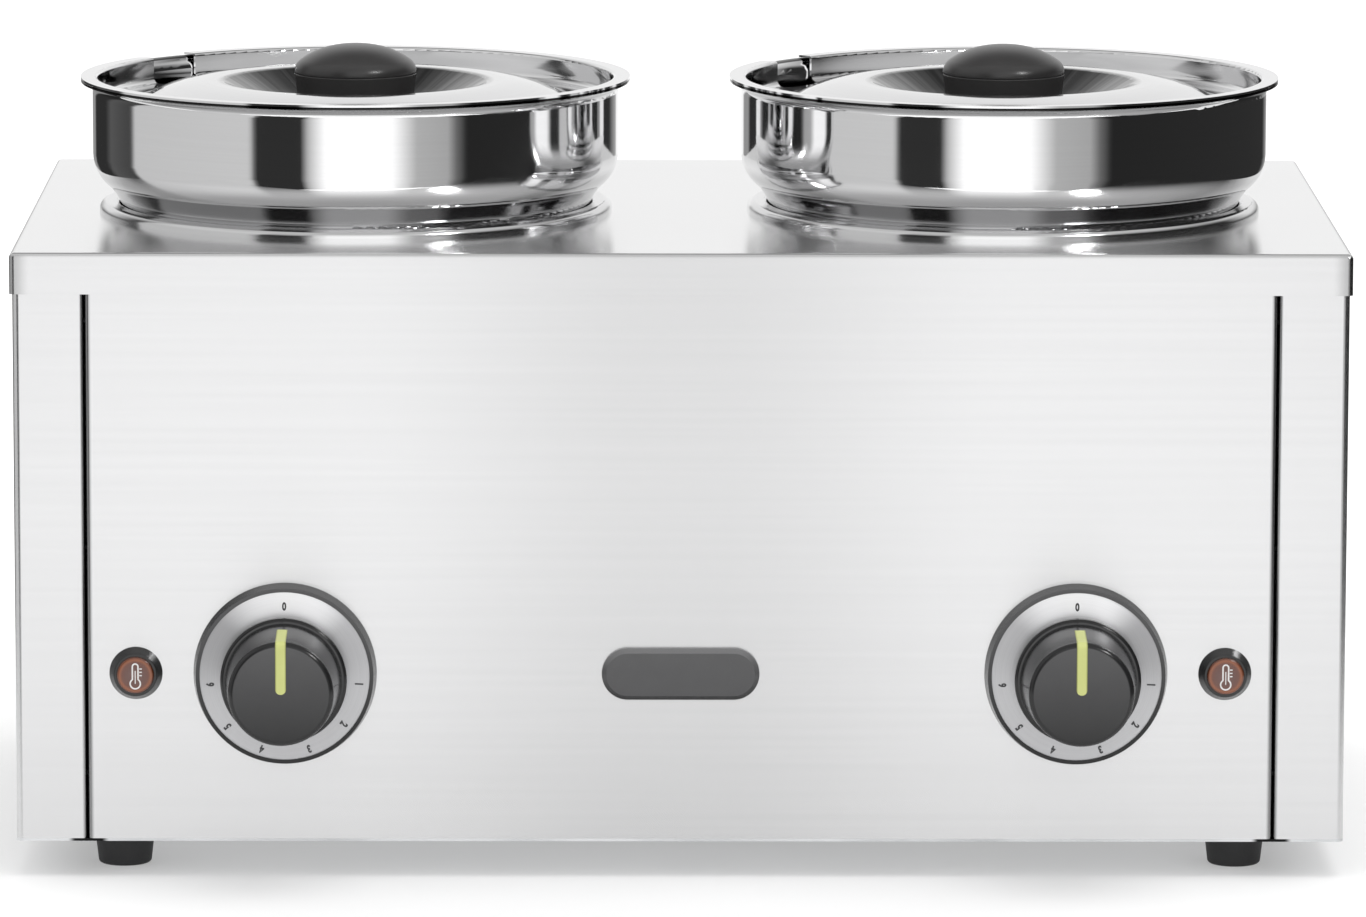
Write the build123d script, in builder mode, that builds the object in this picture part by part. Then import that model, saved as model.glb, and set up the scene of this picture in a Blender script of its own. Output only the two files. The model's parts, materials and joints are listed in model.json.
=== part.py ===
from build123d import *
import os
from math import cos, radians, sin

os.makedirs("parts", exist_ok=True)

# Twin-pot bain marie for a counter. Millimetres, +Z up, the front faces -Y.
# The origin lies on the floor, under the middle of the whole outline.

# Cabinet
top_width = 500.0
top_depth = 293.5
top_lip_height = 15.5
body_height = 222.5
foot_height = 14.0
sheet = 0.8
sheet_gap = 0.2
base_sheet = 1.0
top_edge_bend = 2.0
corner_bend = 2.5
seam_bend = 1.4
return_strip = 26.3
seam_gap = 0.7
inner_flange = 12.0
bottom_flange = 20.0

# Fits between neighbours that don't move, and between those that do
seat_gap = 0.3
screw_clearance = 0.2
shaft_clearance = 0.05

# Wells and pots
well_axis_inset = 125.2
well_axis_setback = 133.0
well_depth = 150.0
well_floor_bend = 12.0
well_clearance = 0.9
collar_radius = 98.7
collar_height = 4.0
collar_outer_bend = 3.0
collar_inner_bend = 1.5
well_hole_clearance = 1.5
seal_height = 2.2
seal_width = 3.0

pot_sheet = 0.8
pot_body_radius = 90.0
pot_head_radius = 101.2
pot_hang_depth = 118.5
pot_rim_height = 51.0
pot_rim_width = 4.4
pot_rim_bend = 4.0
pot_floor_bend = 12.0
pot_shoulder_angle = 50.0
pot_shoulder_top = 22.7

# Lids, measured down from the flange that lies on the pot's rim
lid_sheet = 0.8
lid_overhang = 0.1
lid_skirt_gap = 0.5
lid_skirt_depth = 10.0
lid_flange_bend = 1.3
lid_skirt_bend = 2.5
lid_crest_drop = 2.0
lid_crest_radius = 57.0
lid_crest_flat = 5.0
lid_dome_angle = 30.0
lid_dome_foot_bend = 10.0
lid_dish_drop = 12.0
lid_dish_angle = 30.0
lid_dish_edge_bend = 4.0
lid_dish_foot_bend = 12.0
notch_width = 23.0
notch_reach = 92.0
notch_inner_corner = 4.0
notch_soft_corner = 4.0
notch_sharp_corner = 0.8
notch_direction = {"left": 137.8, "right": 143.8}

lid_knob_radius = 23.4
lid_knob_foot_radius = 22.0
lid_knob_height = 24.0
lid_knob_parting = 12.8
lid_knob_edge_bend = 5.5
lid_knob_edge_turn = 60.0
lid_screw_radius = 2.5
lid_screw_grip = 12.0
lid_washer_radius = 8.0
lid_washer_height = 1.2
lid_screw_head_radius = 4.5
lid_screw_head_height = 2.8
lid_screw_head_bend = 0.9

# Controls on the front panel
control_height = 78.0
dial_inset = 102.0
bezel_radius = 34.3
bezel_face_radius = 33.2
bezel_height = 7.0
bezel_lip = 1.4
bezel_bore = 14.0
bezel_back_recess_radius = 19.0
bezel_back_recess_depth = 2.6
scale_ring_recess = 0.4
scale_ring_sheet = 0.8
scale_ring_rise = 1.6
scale_ring_bore = 15.0
dial_hub_radius = 13.0
dial_hub_gap = 2.6
dial_flange_radius = 23.6
dial_flange_back = 13.4
dial_flange_front = 18.0
dial_grip_base_radius = 22.2
dial_grip_tip_radius = 19.6
dial_height = 45.9
dial_tip_bend = 2.2
dial_flange_bend = 1.4
pointer_width = 4.0
pointer_depth = 1.2
pointer_proud = 0.15
pointer_side_end = 27.0
shaft_radius = 3.0
shaft_flat = 1.5
shaft_engagement = 20.0
shaft_inside = 8.0

thermostat_width = 42.0
thermostat_height = 36.0
thermostat_depth = 27.0
thermostat_corner = 3.0
thermostat_chamfer = 1.5
thermostat_bush_radius = 5.5
thermostat_bush_height = 3.0
thermostat_screw_spacing = 28.0
thermostat_screw_radius = 2.0
thermostat_screw_head_radius = 3.8
thermostat_screw_head_height = 2.2
thermostat_screw_length = 8.0
terminal_tab_width = 6.3
terminal_tab_sheet = 0.8
terminal_tab_length = 8.0
terminal_tab_pitch = 11.0

bulb_radius = 3.0
bulb_length = 70.0
bulb_clearance = 0.4
bulb_pocket_wall = 0.8
bulb_pocket_length = 50.0
bulb_pocket_height = 40.0
capillary_radius = 0.9
capillary_exit_drop = 10.0
capillary_exit_run = 16.0
capillary_floor_gap = 16.0
capillary_bend = 8.0

pilot_inset = 46.2
pilot_radius = 9.95
pilot_face_radius = 8.0
pilot_height = 4.8
pilot_lens_radius = 7.0
pilot_lens_proud = 1.0
pilot_lens_edge = 1.0
pilot_lens_depth = 3.0
pilot_barrel_radius = 6.5
pilot_barrel_length = 24.0
pilot_nut_radius = 9.0
pilot_nut_height = 4.0

name_plate_width = 59.0
name_plate_height = 19.5
name_plate_depth = 3.2
name_plate_bevel = 1.7

# Heating under each well
element_radius = 4.0
element_ring_radius = 62.0
element_ring_gap = 32.0
element_leg_bend = 12.0
element_leg_length = 14.0
element_pin_radius = 2.0
element_pin_length = 9.0
clamp_sheet = 1.5
clamp_channel_slope = 4.0
clamp_rim_radius = 82.0
clamp_bend = 2.0
clamp_slot_clearance = 3.0
stud_radius = 3.0
stud_length = 16.0
stud_nut_across_flats = 10.0
stud_nut_height = 5.0

# Feet, base plate and its screws
foot_inset_x = 40.0
foot_inset_y = 32.0
foot_top_radius = 11.5
foot_bottom_radius = 9.9
foot_edge_bend = 1.5
foot_recess_radius = 5.0
foot_recess_depth = 6.0
foot_screw_radius = 2.5
foot_screw_head_radius = 4.2
foot_screw_head_height = 3.0
foot_screw_length = 14.0
foot_nut_across_flats = 8.0
foot_nut_height = 4.0
base_screw_inset_x = 14.5
base_screw_inset_y = 14.8
base_screw_radius = 1.9
base_screw_head_radius = 3.6
base_screw_head_height = 1.6
base_screw_head_bend = 0.8
base_screw_length = 7.0
vent_slot_length = 34.0
vent_slot_width = 4.0
vent_slot_pitch = 12.0
vent_slot_count = 9

# Folded panel edges
rivet_radius = 1.6
rivet_head_radius = 3.0
rivet_head_height = 0.9
rivet_inset = 24.0
rivet_setback = 7.2

# Supply side at the rear
gland_inset = 70.0
gland_height = 45.0
gland_bore_radius = 4.2
gland_thread_radius = 8.0
gland_thread_length = 10.0
gland_hex_across_flats = 22.0
gland_hex_height = 5.0
gland_dome_radius = 10.4
gland_dome_height = 13.0
gland_dome_bend = 4.0
gland_nut_height = 4.5
terminal_block_width = 36.0
terminal_block_depth = 20.0
terminal_block_height = 18.0
terminal_block_setback = 46.0
terminal_pitch = 11.0
terminal_wire_radius = 2.2
terminal_screw_radius = 2.0
terminal_corner = 2.0
earth_stud_inset = 120.0
earth_stud_radius = 2.5
earth_stud_length = 16.0
earth_head_radius = 4.5
earth_head_height = 2.0
earth_nut_across_flats = 8.0
earth_nut_height = 4.0

# Levels and faces that follow from the sizes above
base_bottom = foot_height
base_top = base_bottom + base_sheet
panel_top = foot_height + body_height
body_inset = sheet + sheet_gap
body_width = top_width - 2 * body_inset
body_depth = top_depth - 2 * body_inset
dial_reach = dial_height + pointer_proud
gland_reach = gland_hex_height + gland_dome_height
body_front = (dial_reach - gland_reach - body_depth) / 2
body_rear = body_front + body_depth
body_middle_y = (body_front + body_rear) / 2
well_y = body_front - body_inset + well_axis_setback
wall_height = panel_top - top_edge_bend - sheet_gap - base_top
strip_inner_x = body_width / 2 - return_strip
front_panel_width = 2 * (strip_inner_x - seam_gap)
well_radius = pot_body_radius + well_clearance
well_hole_radius = well_radius + sheet + well_hole_clearance
pot_spacing = top_width - 2 * well_axis_inset
dial_spacing = top_width - 2 * dial_inset
pilot_spacing = top_width - 2 * pilot_inset
foot_spacing_x = top_width - 2 * foot_inset_x
gland_x = top_width / 2 - gland_inset
earth_stud_x = top_width / 2 - earth_stud_inset
sides = {"left": -1, "right": 1}


def well_x(side):
    return sides[side] * pot_spacing / 2


def dial_x(side):
    return sides[side] * dial_spacing / 2


def upright_section(x, y, z):
    """Upright plane through (x, y, z): its first axis is a radius towards +X, its second is up."""
    return Plane(origin=(x, y, z), x_dir=(1, 0, 0), z_dir=(0, -1, 0))


def outward_section(x, y, z):
    """Level plane through (x, y, z): its first axis is a radius towards +X, its second points at -Y."""
    return Plane(origin=(x, y, z), x_dir=(1, 0, 0), z_dir=(0, 0, -1))


def rearward_section(x, y, z):
    """Level plane through (x, y, z): its first axis is a radius towards +X, its second points at +Y."""
    return Plane(origin=(x, y, z), x_dir=(1, 0, 0), z_dir=(0, 0, 1))


def facing_front(y):
    """Plane across the cabinet at y, seen from the front: X to the right, Z up, outwards is -Y."""
    return Plane(origin=(0, y, 0), x_dir=(1, 0, 0), z_dir=(0, -1, 0))


def upright_axis(x, y):
    return Axis((x, y, 0), (0, 0, 1))


def level_axis(x, z):
    return Axis((x, 0, z), (0, 1, 0))


def grip_outline(grow):
    """Half section of a dial knob's tapered grip, with its faces moved outwards by grow."""
    with BuildSketch() as outline:
        with BuildLine():
            side_line = Line(
                (dial_grip_base_radius + grow, dial_flange_back),
                (dial_grip_tip_radius + grow, dial_height - dial_tip_bend),
            )
            tip_edge = TangentArc(
                side_line @ 1,
                (dial_grip_tip_radius - dial_tip_bend, dial_height + grow),
                tangent=(0, 1),
            )
            face = Line(tip_edge @ 1, (0, dial_height + grow))
            middle = Line(face @ 1, (0, dial_flange_back))
            Line(middle @ 1, side_line @ 0)
        make_face()
    return outline.sketch


def d_outline(radius, flat):
    """Round shaft section with a flat below the middle, cut back by flat from the round."""
    with BuildSketch() as outline:
        Circle(radius)
        with Locations((0, -radius)):
            Rectangle(2 * radius, flat, align=(Align.CENTER, Align.MIN), mode=Mode.SUBTRACT)
    return outline.sketch


def save(piece, name):
    piece.part.label = name
    export_step(piece.part, f"parts/{name}.step")


# Top panel: a tray turned upside down, with a hole for each well
with BuildPart() as top_panel:
    with BuildSketch(Plane.XY.offset(panel_top - top_lip_height)):
        with Locations((0, body_middle_y)):
            Rectangle(top_width, top_depth)
    extrude(amount=top_lip_height)
    fillet(top_panel.edges().filter_by(Axis.Z), radius=top_edge_bend)
    fillet(top_panel.faces().sort_by(Axis.Z)[-1].edges(), radius=top_edge_bend)
    offset(amount=-sheet, openings=top_panel.faces().sort_by(Axis.Z)[0])
    with BuildSketch(Plane.XY.offset(panel_top)):
        with Locations((0, well_y)):
            with GridLocations(pot_spacing, 1, 2, 1):
                Circle(well_hole_radius)
    extrude(amount=-2 * sheet, mode=Mode.SUBTRACT)
save(top_panel, "top_panel")

# Side panels: each wraps round two corners and ends in a flange folded inwards beside the seam
base_screw_y = [body_front + base_screw_inset_y, body_middle_y, body_rear - base_screw_inset_y]
base_screw_x = body_width / 2 - base_screw_inset_x
rivet_heights = [base_top + rivet_inset, base_top + wall_height / 2, base_top + wall_height - rivet_inset]
rivet_y = [body_front + rivet_setback, body_rear - rivet_setback]
for side, sign in sides.items():
    with BuildPart() as side_panel:
        with BuildSketch(Plane.XY.offset(base_top)):
            with BuildLine():
                FilletPolyline(
                    (sign * strip_inner_x, body_front + inner_flange),
                    (sign * strip_inner_x, body_front),
                    (sign * body_width / 2, body_front),
                    (sign * body_width / 2, body_rear),
                    (sign * strip_inner_x, body_rear),
                    (sign * strip_inner_x, body_rear - inner_flange),
                    radius=[seam_bend, corner_bend, corner_bend, seam_bend],
                )
                offset(amount=sheet, side=Side.LEFT if sign > 0 else Side.RIGHT)
            make_face()
        extrude(amount=wall_height)
        with BuildSketch(Plane.XY.offset(base_top)):
            with Locations((sign * (body_width - bottom_flange - sheet) / 2, body_middle_y)):
                Rectangle(bottom_flange, body_depth - 2 * inner_flange)
            with Locations(*[(sign * base_screw_x, y) for y in base_screw_y]):
                Circle(base_screw_radius + screw_clearance, mode=Mode.SUBTRACT)
        extrude(amount=sheet)
        with BuildSketch(Plane.YZ.offset(sign * strip_inner_x)):
            with Locations(*[(y, z) for y in rivet_y for z in rivet_heights]):
                Circle(rivet_radius + shaft_clearance)
        extrude(amount=2 * sheet, both=True, mode=Mode.SUBTRACT)
    save(side_panel, f"{side}_side_panel")

# Front and rear panels: shallow trays between the strips of the side panels
flange_x = front_panel_width / 2
panel_faces = {"front": (body_front, 1), "rear": (body_rear, -1)}
for place, (face_y, inwards) in panel_faces.items():
    with BuildPart() as panel:
        with BuildSketch(Plane.XY.offset(base_top)):
            with BuildLine():
                FilletPolyline(
                    (-flange_x, face_y + inwards * inner_flange),
                    (-flange_x, face_y),
                    (flange_x, face_y),
                    (flange_x, face_y + inwards * inner_flange),
                    radius=seam_bend,
                )
                offset(amount=sheet, side=Side.LEFT if inwards > 0 else Side.RIGHT)
            make_face()
        extrude(amount=wall_height)
        with BuildSketch(Plane.YZ):
            with Locations(*[(face_y + inwards * rivet_setback, z) for z in rivet_heights]):
                Circle(rivet_radius + shaft_clearance)
        extrude(amount=top_width / 2, both=True, mode=Mode.SUBTRACT)
        with BuildSketch(facing_front(face_y)):
            if place == "front":
                with Locations((0, control_height)):
                    with GridLocations(dial_spacing, 1, 2, 1):
                        Circle(thermostat_bush_radius + screw_clearance)
                        with GridLocations(thermostat_screw_spacing, 1, 2, 1):
                            Circle(thermostat_screw_radius + screw_clearance)
                    with GridLocations(pilot_spacing, 1, 2, 1):
                        Circle(pilot_barrel_radius + screw_clearance)
            else:
                with Locations((gland_x, gland_height)):
                    Circle(gland_thread_radius + screw_clearance)
        extrude(amount=2 * sheet, both=True, mode=Mode.SUBTRACT)
    save(panel, f"{place}_panel")

# Base plate: flat, flush with the panels, with two rows of vent slots
foot_y = [body_front - body_inset + foot_inset_y, body_rear + body_inset - foot_inset_y]
foot_middle_y = (foot_y[0] + foot_y[1]) / 2
foot_spacing_y = foot_y[1] - foot_y[0]
earth_stud_y = body_rear - terminal_block_setback
with BuildPart() as base_plate:
    with BuildSketch(Plane.XY.offset(base_bottom)):
        with Locations((0, body_middle_y)):
            RectangleRounded(body_width, body_depth, corner_bend)
            with GridLocations(vent_slot_pitch, foot_spacing_y / 2, vent_slot_count, 2):
                SlotOverall(vent_slot_length, vent_slot_width, rotation=90, mode=Mode.SUBTRACT)
        with Locations((0, foot_middle_y)):
            with GridLocations(foot_spacing_x, foot_spacing_y, 2, 2):
                Circle(foot_screw_radius + screw_clearance, mode=Mode.SUBTRACT)
        with Locations(*[(sign * base_screw_x, y) for sign in (-1, 1) for y in base_screw_y]):
            Circle(base_screw_radius + screw_clearance, mode=Mode.SUBTRACT)
        with Locations((earth_stud_x, earth_stud_y)):
            Circle(earth_stud_radius + screw_clearance, mode=Mode.SUBTRACT)
    extrude(amount=base_sheet)
save(base_plate, "base_plate")

# Pan-head screws from below, through the base plate into the side panels' bottom flanges
with BuildPart() as base_screws:
    with BuildSketch(Plane.XY.offset(base_bottom)):
        with Locations(*[(sign * base_screw_x, y) for sign in (-1, 1) for y in base_screw_y]):
            Circle(base_screw_head_radius)
    extrude(amount=-base_screw_head_height)
    fillet(base_screws.faces().filter_by(Plane.XY).group_by(Axis.Z)[0].edges(), radius=base_screw_head_bend)
    with BuildSketch(Plane.XY.offset(base_bottom)):
        with Locations(*[(sign * base_screw_x, y) for sign in (-1, 1) for y in base_screw_y]):
            Circle(base_screw_radius)
    extrude(amount=base_screw_length)
save(base_screws, "base_screws")

# Rivets through the folded edges on both sides of each seam
with BuildPart() as panel_rivets:
    for sign in (-1, 1):
        outer_face = sign * (strip_inner_x + sheet)
        inner_face = sign * (flange_x - sheet)
        for centre_x, toward in ((outer_face, sign), (inner_face, -sign)):
            with BuildSketch(Plane.YZ.offset(centre_x)):
                with Locations(*[(y, z) for y in rivet_y for z in rivet_heights]):
                    Circle(rivet_head_radius)
            extrude(amount=toward * rivet_head_height)
        with BuildSketch(Plane.YZ.offset(inner_face)):
            with Locations(*[(y, z) for y in rivet_y for z in rivet_heights]):
                Circle(rivet_radius)
        extrude(amount=outer_face - inner_face)
save(panel_rivets, "panel_rivets")

# Rubber feet: a taper with a recess from below for the screw's head
for depth_name, y in zip(("front", "rear"), foot_y):
    for side, sign in sides.items():
        foot_x = sign * foot_spacing_x / 2
        with BuildPart() as foot:
            with BuildSketch(upright_section(foot_x, y, 0)):
                with BuildLine():
                    Polyline(
                        (foot_screw_radius + screw_clearance, foot_height),
                        (foot_top_radius, foot_height),
                        (foot_bottom_radius, 0),
                        (foot_recess_radius, 0),
                        (foot_recess_radius, foot_recess_depth),
                        (foot_screw_radius + screw_clearance, foot_recess_depth),
                        close=True,
                    )
                make_face()
                fillet(vertices().group_by(Axis.Y)[0].sort_by(Axis.X)[-1], radius=foot_edge_bend)
            revolve(axis=upright_axis(foot_x, y))
        save(foot, f"{depth_name}_{side}_foot")

# Screws that hold the feet, and their nuts inside the cabinet
with BuildPart() as foot_screws:
    with BuildSketch(Plane.XY.offset(foot_recess_depth)):
        with Locations((0, foot_middle_y)):
            with GridLocations(foot_spacing_x, foot_spacing_y, 2, 2):
                Circle(foot_screw_head_radius)
    extrude(amount=-foot_screw_head_height)
    with BuildSketch(Plane.XY.offset(foot_recess_depth)):
        with Locations((0, foot_middle_y)):
            with GridLocations(foot_spacing_x, foot_spacing_y, 2, 2):
                Circle(foot_screw_radius)
    extrude(amount=foot_screw_length)
save(foot_screws, "foot_screws")

with BuildPart() as foot_nuts:
    with BuildSketch(Plane.XY.offset(base_top)):
        with Locations((0, foot_middle_y)):
            with GridLocations(foot_spacing_x, foot_spacing_y, 2, 2):
                RegularPolygon(foot_nut_across_flats / 2, 6, major_radius=False)
                Circle(foot_screw_radius + shaft_clearance, mode=Mode.SUBTRACT)
    extrude(amount=foot_nut_height)
save(foot_nuts, "foot_nuts")

# Water wells: a drawn bowl whose rim rises over the panel as a rounded collar.
# A pocket for the sensing bulb is brazed to the side that faces the other well,
# and a stud for the heater clamp is welded under the floor.
well_underside = panel_top - well_depth - sheet
pocket_radius = bulb_radius + bulb_clearance
pocket_bottom = well_underside + bulb_pocket_height
pocket_reach = well_radius + sheet / 2 + pocket_radius + bulb_pocket_wall
for side, sign in sides.items():
    x = well_x(side)
    pocket_x = x - sign * pocket_reach
    with BuildPart() as well:
        with BuildSketch(upright_section(x, well_y, panel_top)):
            with BuildLine():
                FilletPolyline(
                    (collar_radius, 0),
                    (collar_radius, collar_height),
                    (well_radius, collar_height),
                    (well_radius, -well_depth),
                    (0, -well_depth),
                    radius=[collar_outer_bend, collar_inner_bend, well_floor_bend],
                )
                offset(amount=sheet, side=Side.LEFT)
            make_face()
        revolve(axis=upright_axis(x, well_y))
        with BuildSketch(Plane.XY.offset(pocket_bottom)):
            with Locations((pocket_x, well_y)):
                Circle(pocket_radius + bulb_pocket_wall)
        extrude(amount=bulb_pocket_length)
        with BuildSketch(Plane.XY.offset(pocket_bottom)):
            with Locations((pocket_x, well_y)):
                Circle(pocket_radius)
        extrude(amount=bulb_pocket_length, mode=Mode.SUBTRACT)
        with BuildSketch(Plane.XY.offset(well_underside)):
            with Locations((x, well_y)):
                Circle(stud_radius)
        extrude(amount=-stud_length)
    save(well, f"{side}_well")

    # Silicone seal in the hollow of the collar, round the hole in the panel
    with BuildPart() as seal:
        with BuildSketch(Plane.XY.offset(panel_top)):
            with Locations((x, well_y)):
                Circle(well_hole_radius + seal_width)
                Circle(well_hole_radius, mode=Mode.SUBTRACT)
        extrude(amount=seal_height)
    save(seal, f"{side}_well_seal")

# Pots: a narrow body in the well, a shoulder of two equal arcs, a wider head and a flared rim
shoulder_turn = radians(pot_shoulder_angle)
shoulder_radius = (pot_head_radius - pot_body_radius) / (2 * (1 - cos(shoulder_turn)))
shoulder_foot = pot_shoulder_top - 2 * shoulder_radius * sin(shoulder_turn)
rim_start = pot_rim_height - pot_sheet - pot_rim_bend
for side in sides:
    x = well_x(side)
    with BuildPart() as pot:
        with BuildSketch(upright_section(x, well_y, panel_top)):
            with BuildLine():
                body = FilletPolyline(
                    (0, -pot_hang_depth),
                    (pot_body_radius, -pot_hang_depth),
                    (pot_body_radius, shoulder_foot),
                    radius=pot_floor_bend,
                )
                lower_arc = JernArc(body @ 1, (0, 1), shoulder_radius, -pot_shoulder_angle)
                upper_arc = JernArc(lower_arc @ 1, lower_arc % 1, shoulder_radius, pot_shoulder_angle)
                head = Line(upper_arc @ 1, (pot_head_radius, rim_start))
                flare = JernArc(head @ 1, (0, 1), pot_rim_bend, -90)
                Line(flare @ 1, (pot_head_radius + pot_rim_width, rim_start + pot_rim_bend))
                offset(amount=pot_sheet, side=Side.LEFT)
            make_face()
        revolve(axis=upright_axis(x, well_y))
    save(pot, f"{side}_pot")

# Lids: a flange on the pot's rim, a skirt, a floor ring, a dome with a dish for the knob,
# and a notch for the ladle at the back left
lid_top = pot_rim_height + seat_gap + lid_sheet
lid_radius = pot_head_radius + pot_rim_width + lid_overhang
skirt_radius = pot_head_radius - pot_sheet - lid_skirt_gap - lid_sheet
lid_floor = lid_top - lid_skirt_depth
lid_crest = lid_top - lid_crest_drop
dish_floor = lid_top - lid_dish_drop
dome_rise = lid_crest - lid_floor
dome_turn = radians(lid_dome_angle)
dome_radius = dome_rise / (1 - cos(dome_turn)) - lid_dome_foot_bend
dome_foot_radius = lid_crest_radius + (dome_radius + lid_dome_foot_bend) * sin(dome_turn)
skirt_bend = min(lid_skirt_bend, skirt_radius - dome_foot_radius - lid_sheet)
dish_turn = radians(lid_dish_angle)
dish_arc_drop = (lid_dish_edge_bend + lid_dish_foot_bend) * (1 - cos(dish_turn))
dish_slope = (lid_crest - dish_floor - dish_arc_drop) / sin(dish_turn)
for side in sides:
    x = well_x(side)
    with BuildPart() as lid:
        with BuildSketch(upright_section(x, well_y, panel_top)):
            with BuildLine():
                skirt = FilletPolyline(
                    (lid_radius, lid_top),
                    (skirt_radius, lid_top),
                    (skirt_radius, lid_floor),
                    (dome_foot_radius, lid_floor),
                    radius=[lid_flange_bend, skirt_bend],
                )
                dome_foot = JernArc(skirt @ 1, (-1, 0), lid_dome_foot_bend, -lid_dome_angle)
                dome = JernArc(dome_foot @ 1, dome_foot % 1, dome_radius, lid_dome_angle)
                crest = Line(dome @ 1, (lid_crest_radius - lid_crest_flat, lid_crest))
                dish_edge = JernArc(crest @ 1, (-1, 0), lid_dish_edge_bend, lid_dish_angle)
                slope = PolarLine(dish_edge @ 1, dish_slope, direction=dish_edge % 1)
                dish_foot = JernArc(slope @ 1, slope % 1, lid_dish_foot_bend, -lid_dish_angle)
                Line(dish_foot @ 1, (0, dish_floor))
                offset(amount=lid_sheet, side=Side.LEFT)
            make_face()
        revolve(axis=upright_axis(x, well_y))
        notch_plane = Plane(
            origin=(x, well_y, panel_top + lid_top),
            x_dir=(cos(radians(notch_direction[side])), sin(radians(notch_direction[side])), 0),
            z_dir=(0, 0, -1),
        )
        with BuildSketch(notch_plane):
            with Locations((notch_reach, 0)):
                Rectangle(lid_radius, notch_width, align=(Align.MIN, Align.CENTER))
            fillet(vertices().group_by(Axis.X)[0], radius=notch_inner_corner)
        extrude(amount=2 * lid_skirt_depth, both=True, mode=Mode.SUBTRACT)
        lid_centre = (x, well_y, panel_top + lid_top)
        flange_corners = lid.edges().filter_by(Axis.Z).sort_by_distance(lid_centre)[-2:]
        front_corner, rear_corner = flange_corners.sort_by(Axis.Y)
        fillet(front_corner, radius=notch_soft_corner)
        fillet(rear_corner, radius=notch_sharp_corner)
        with BuildSketch(Plane.XY.offset(panel_top + dish_floor)):
            with Locations((x, well_y)):
                Circle(lid_screw_radius + screw_clearance)
        extrude(amount=2 * lid_sheet, both=True, mode=Mode.SUBTRACT)
    save(lid, f"{side}_lid")

    # Knob of moulded phenolic: a drum that widens to its parting line, then a low crown
    foot_z = panel_top + dish_floor
    with BuildPart() as lid_knob:
        with BuildSketch(upright_section(x, well_y, foot_z)):
            with BuildLine():
                drum = Line((lid_knob_foot_radius, 0), (lid_knob_radius, lid_knob_parting))
                crown_edge = JernArc(drum @ 1, drum % 1, lid_knob_edge_bend, lid_knob_edge_turn)
                Spline(crown_edge @ 1, (0, lid_knob_height), tangents=[crown_edge % 1, (-1, 0)])
                Line((0, lid_knob_height), (0, 0))
                Line((0, 0), (lid_knob_foot_radius, 0))
            make_face()
        revolve(axis=upright_axis(x, well_y))
        with BuildSketch(Plane.XY.offset(foot_z)):
            with Locations((x, well_y)):
                Circle(lid_screw_radius + shaft_clearance)
        extrude(amount=lid_screw_grip, mode=Mode.SUBTRACT)
    save(lid_knob, f"{side}_lid_knob")

    # Screw and washer from inside the lid
    with BuildPart() as lid_screw:
        with BuildSketch(Plane.XY.offset(foot_z - lid_sheet)):
            with Locations((x, well_y)):
                Circle(lid_washer_radius)
        extrude(amount=-lid_washer_height)
        with BuildSketch(Plane.XY.offset(foot_z - lid_sheet - lid_washer_height)):
            with Locations((x, well_y)):
                Circle(lid_screw_head_radius)
        extrude(amount=-lid_screw_head_height)
        fillet(lid_screw.faces().sort_by(Axis.Z)[0].edges(), radius=lid_screw_head_bend)
        with BuildSketch(Plane.XY.offset(foot_z - lid_sheet)):
            with Locations((x, well_y)):
                Circle(lid_screw_radius)
        extrude(amount=lid_screw_grip)
    save(lid_screw, f"{side}_lid_screw")

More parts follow.
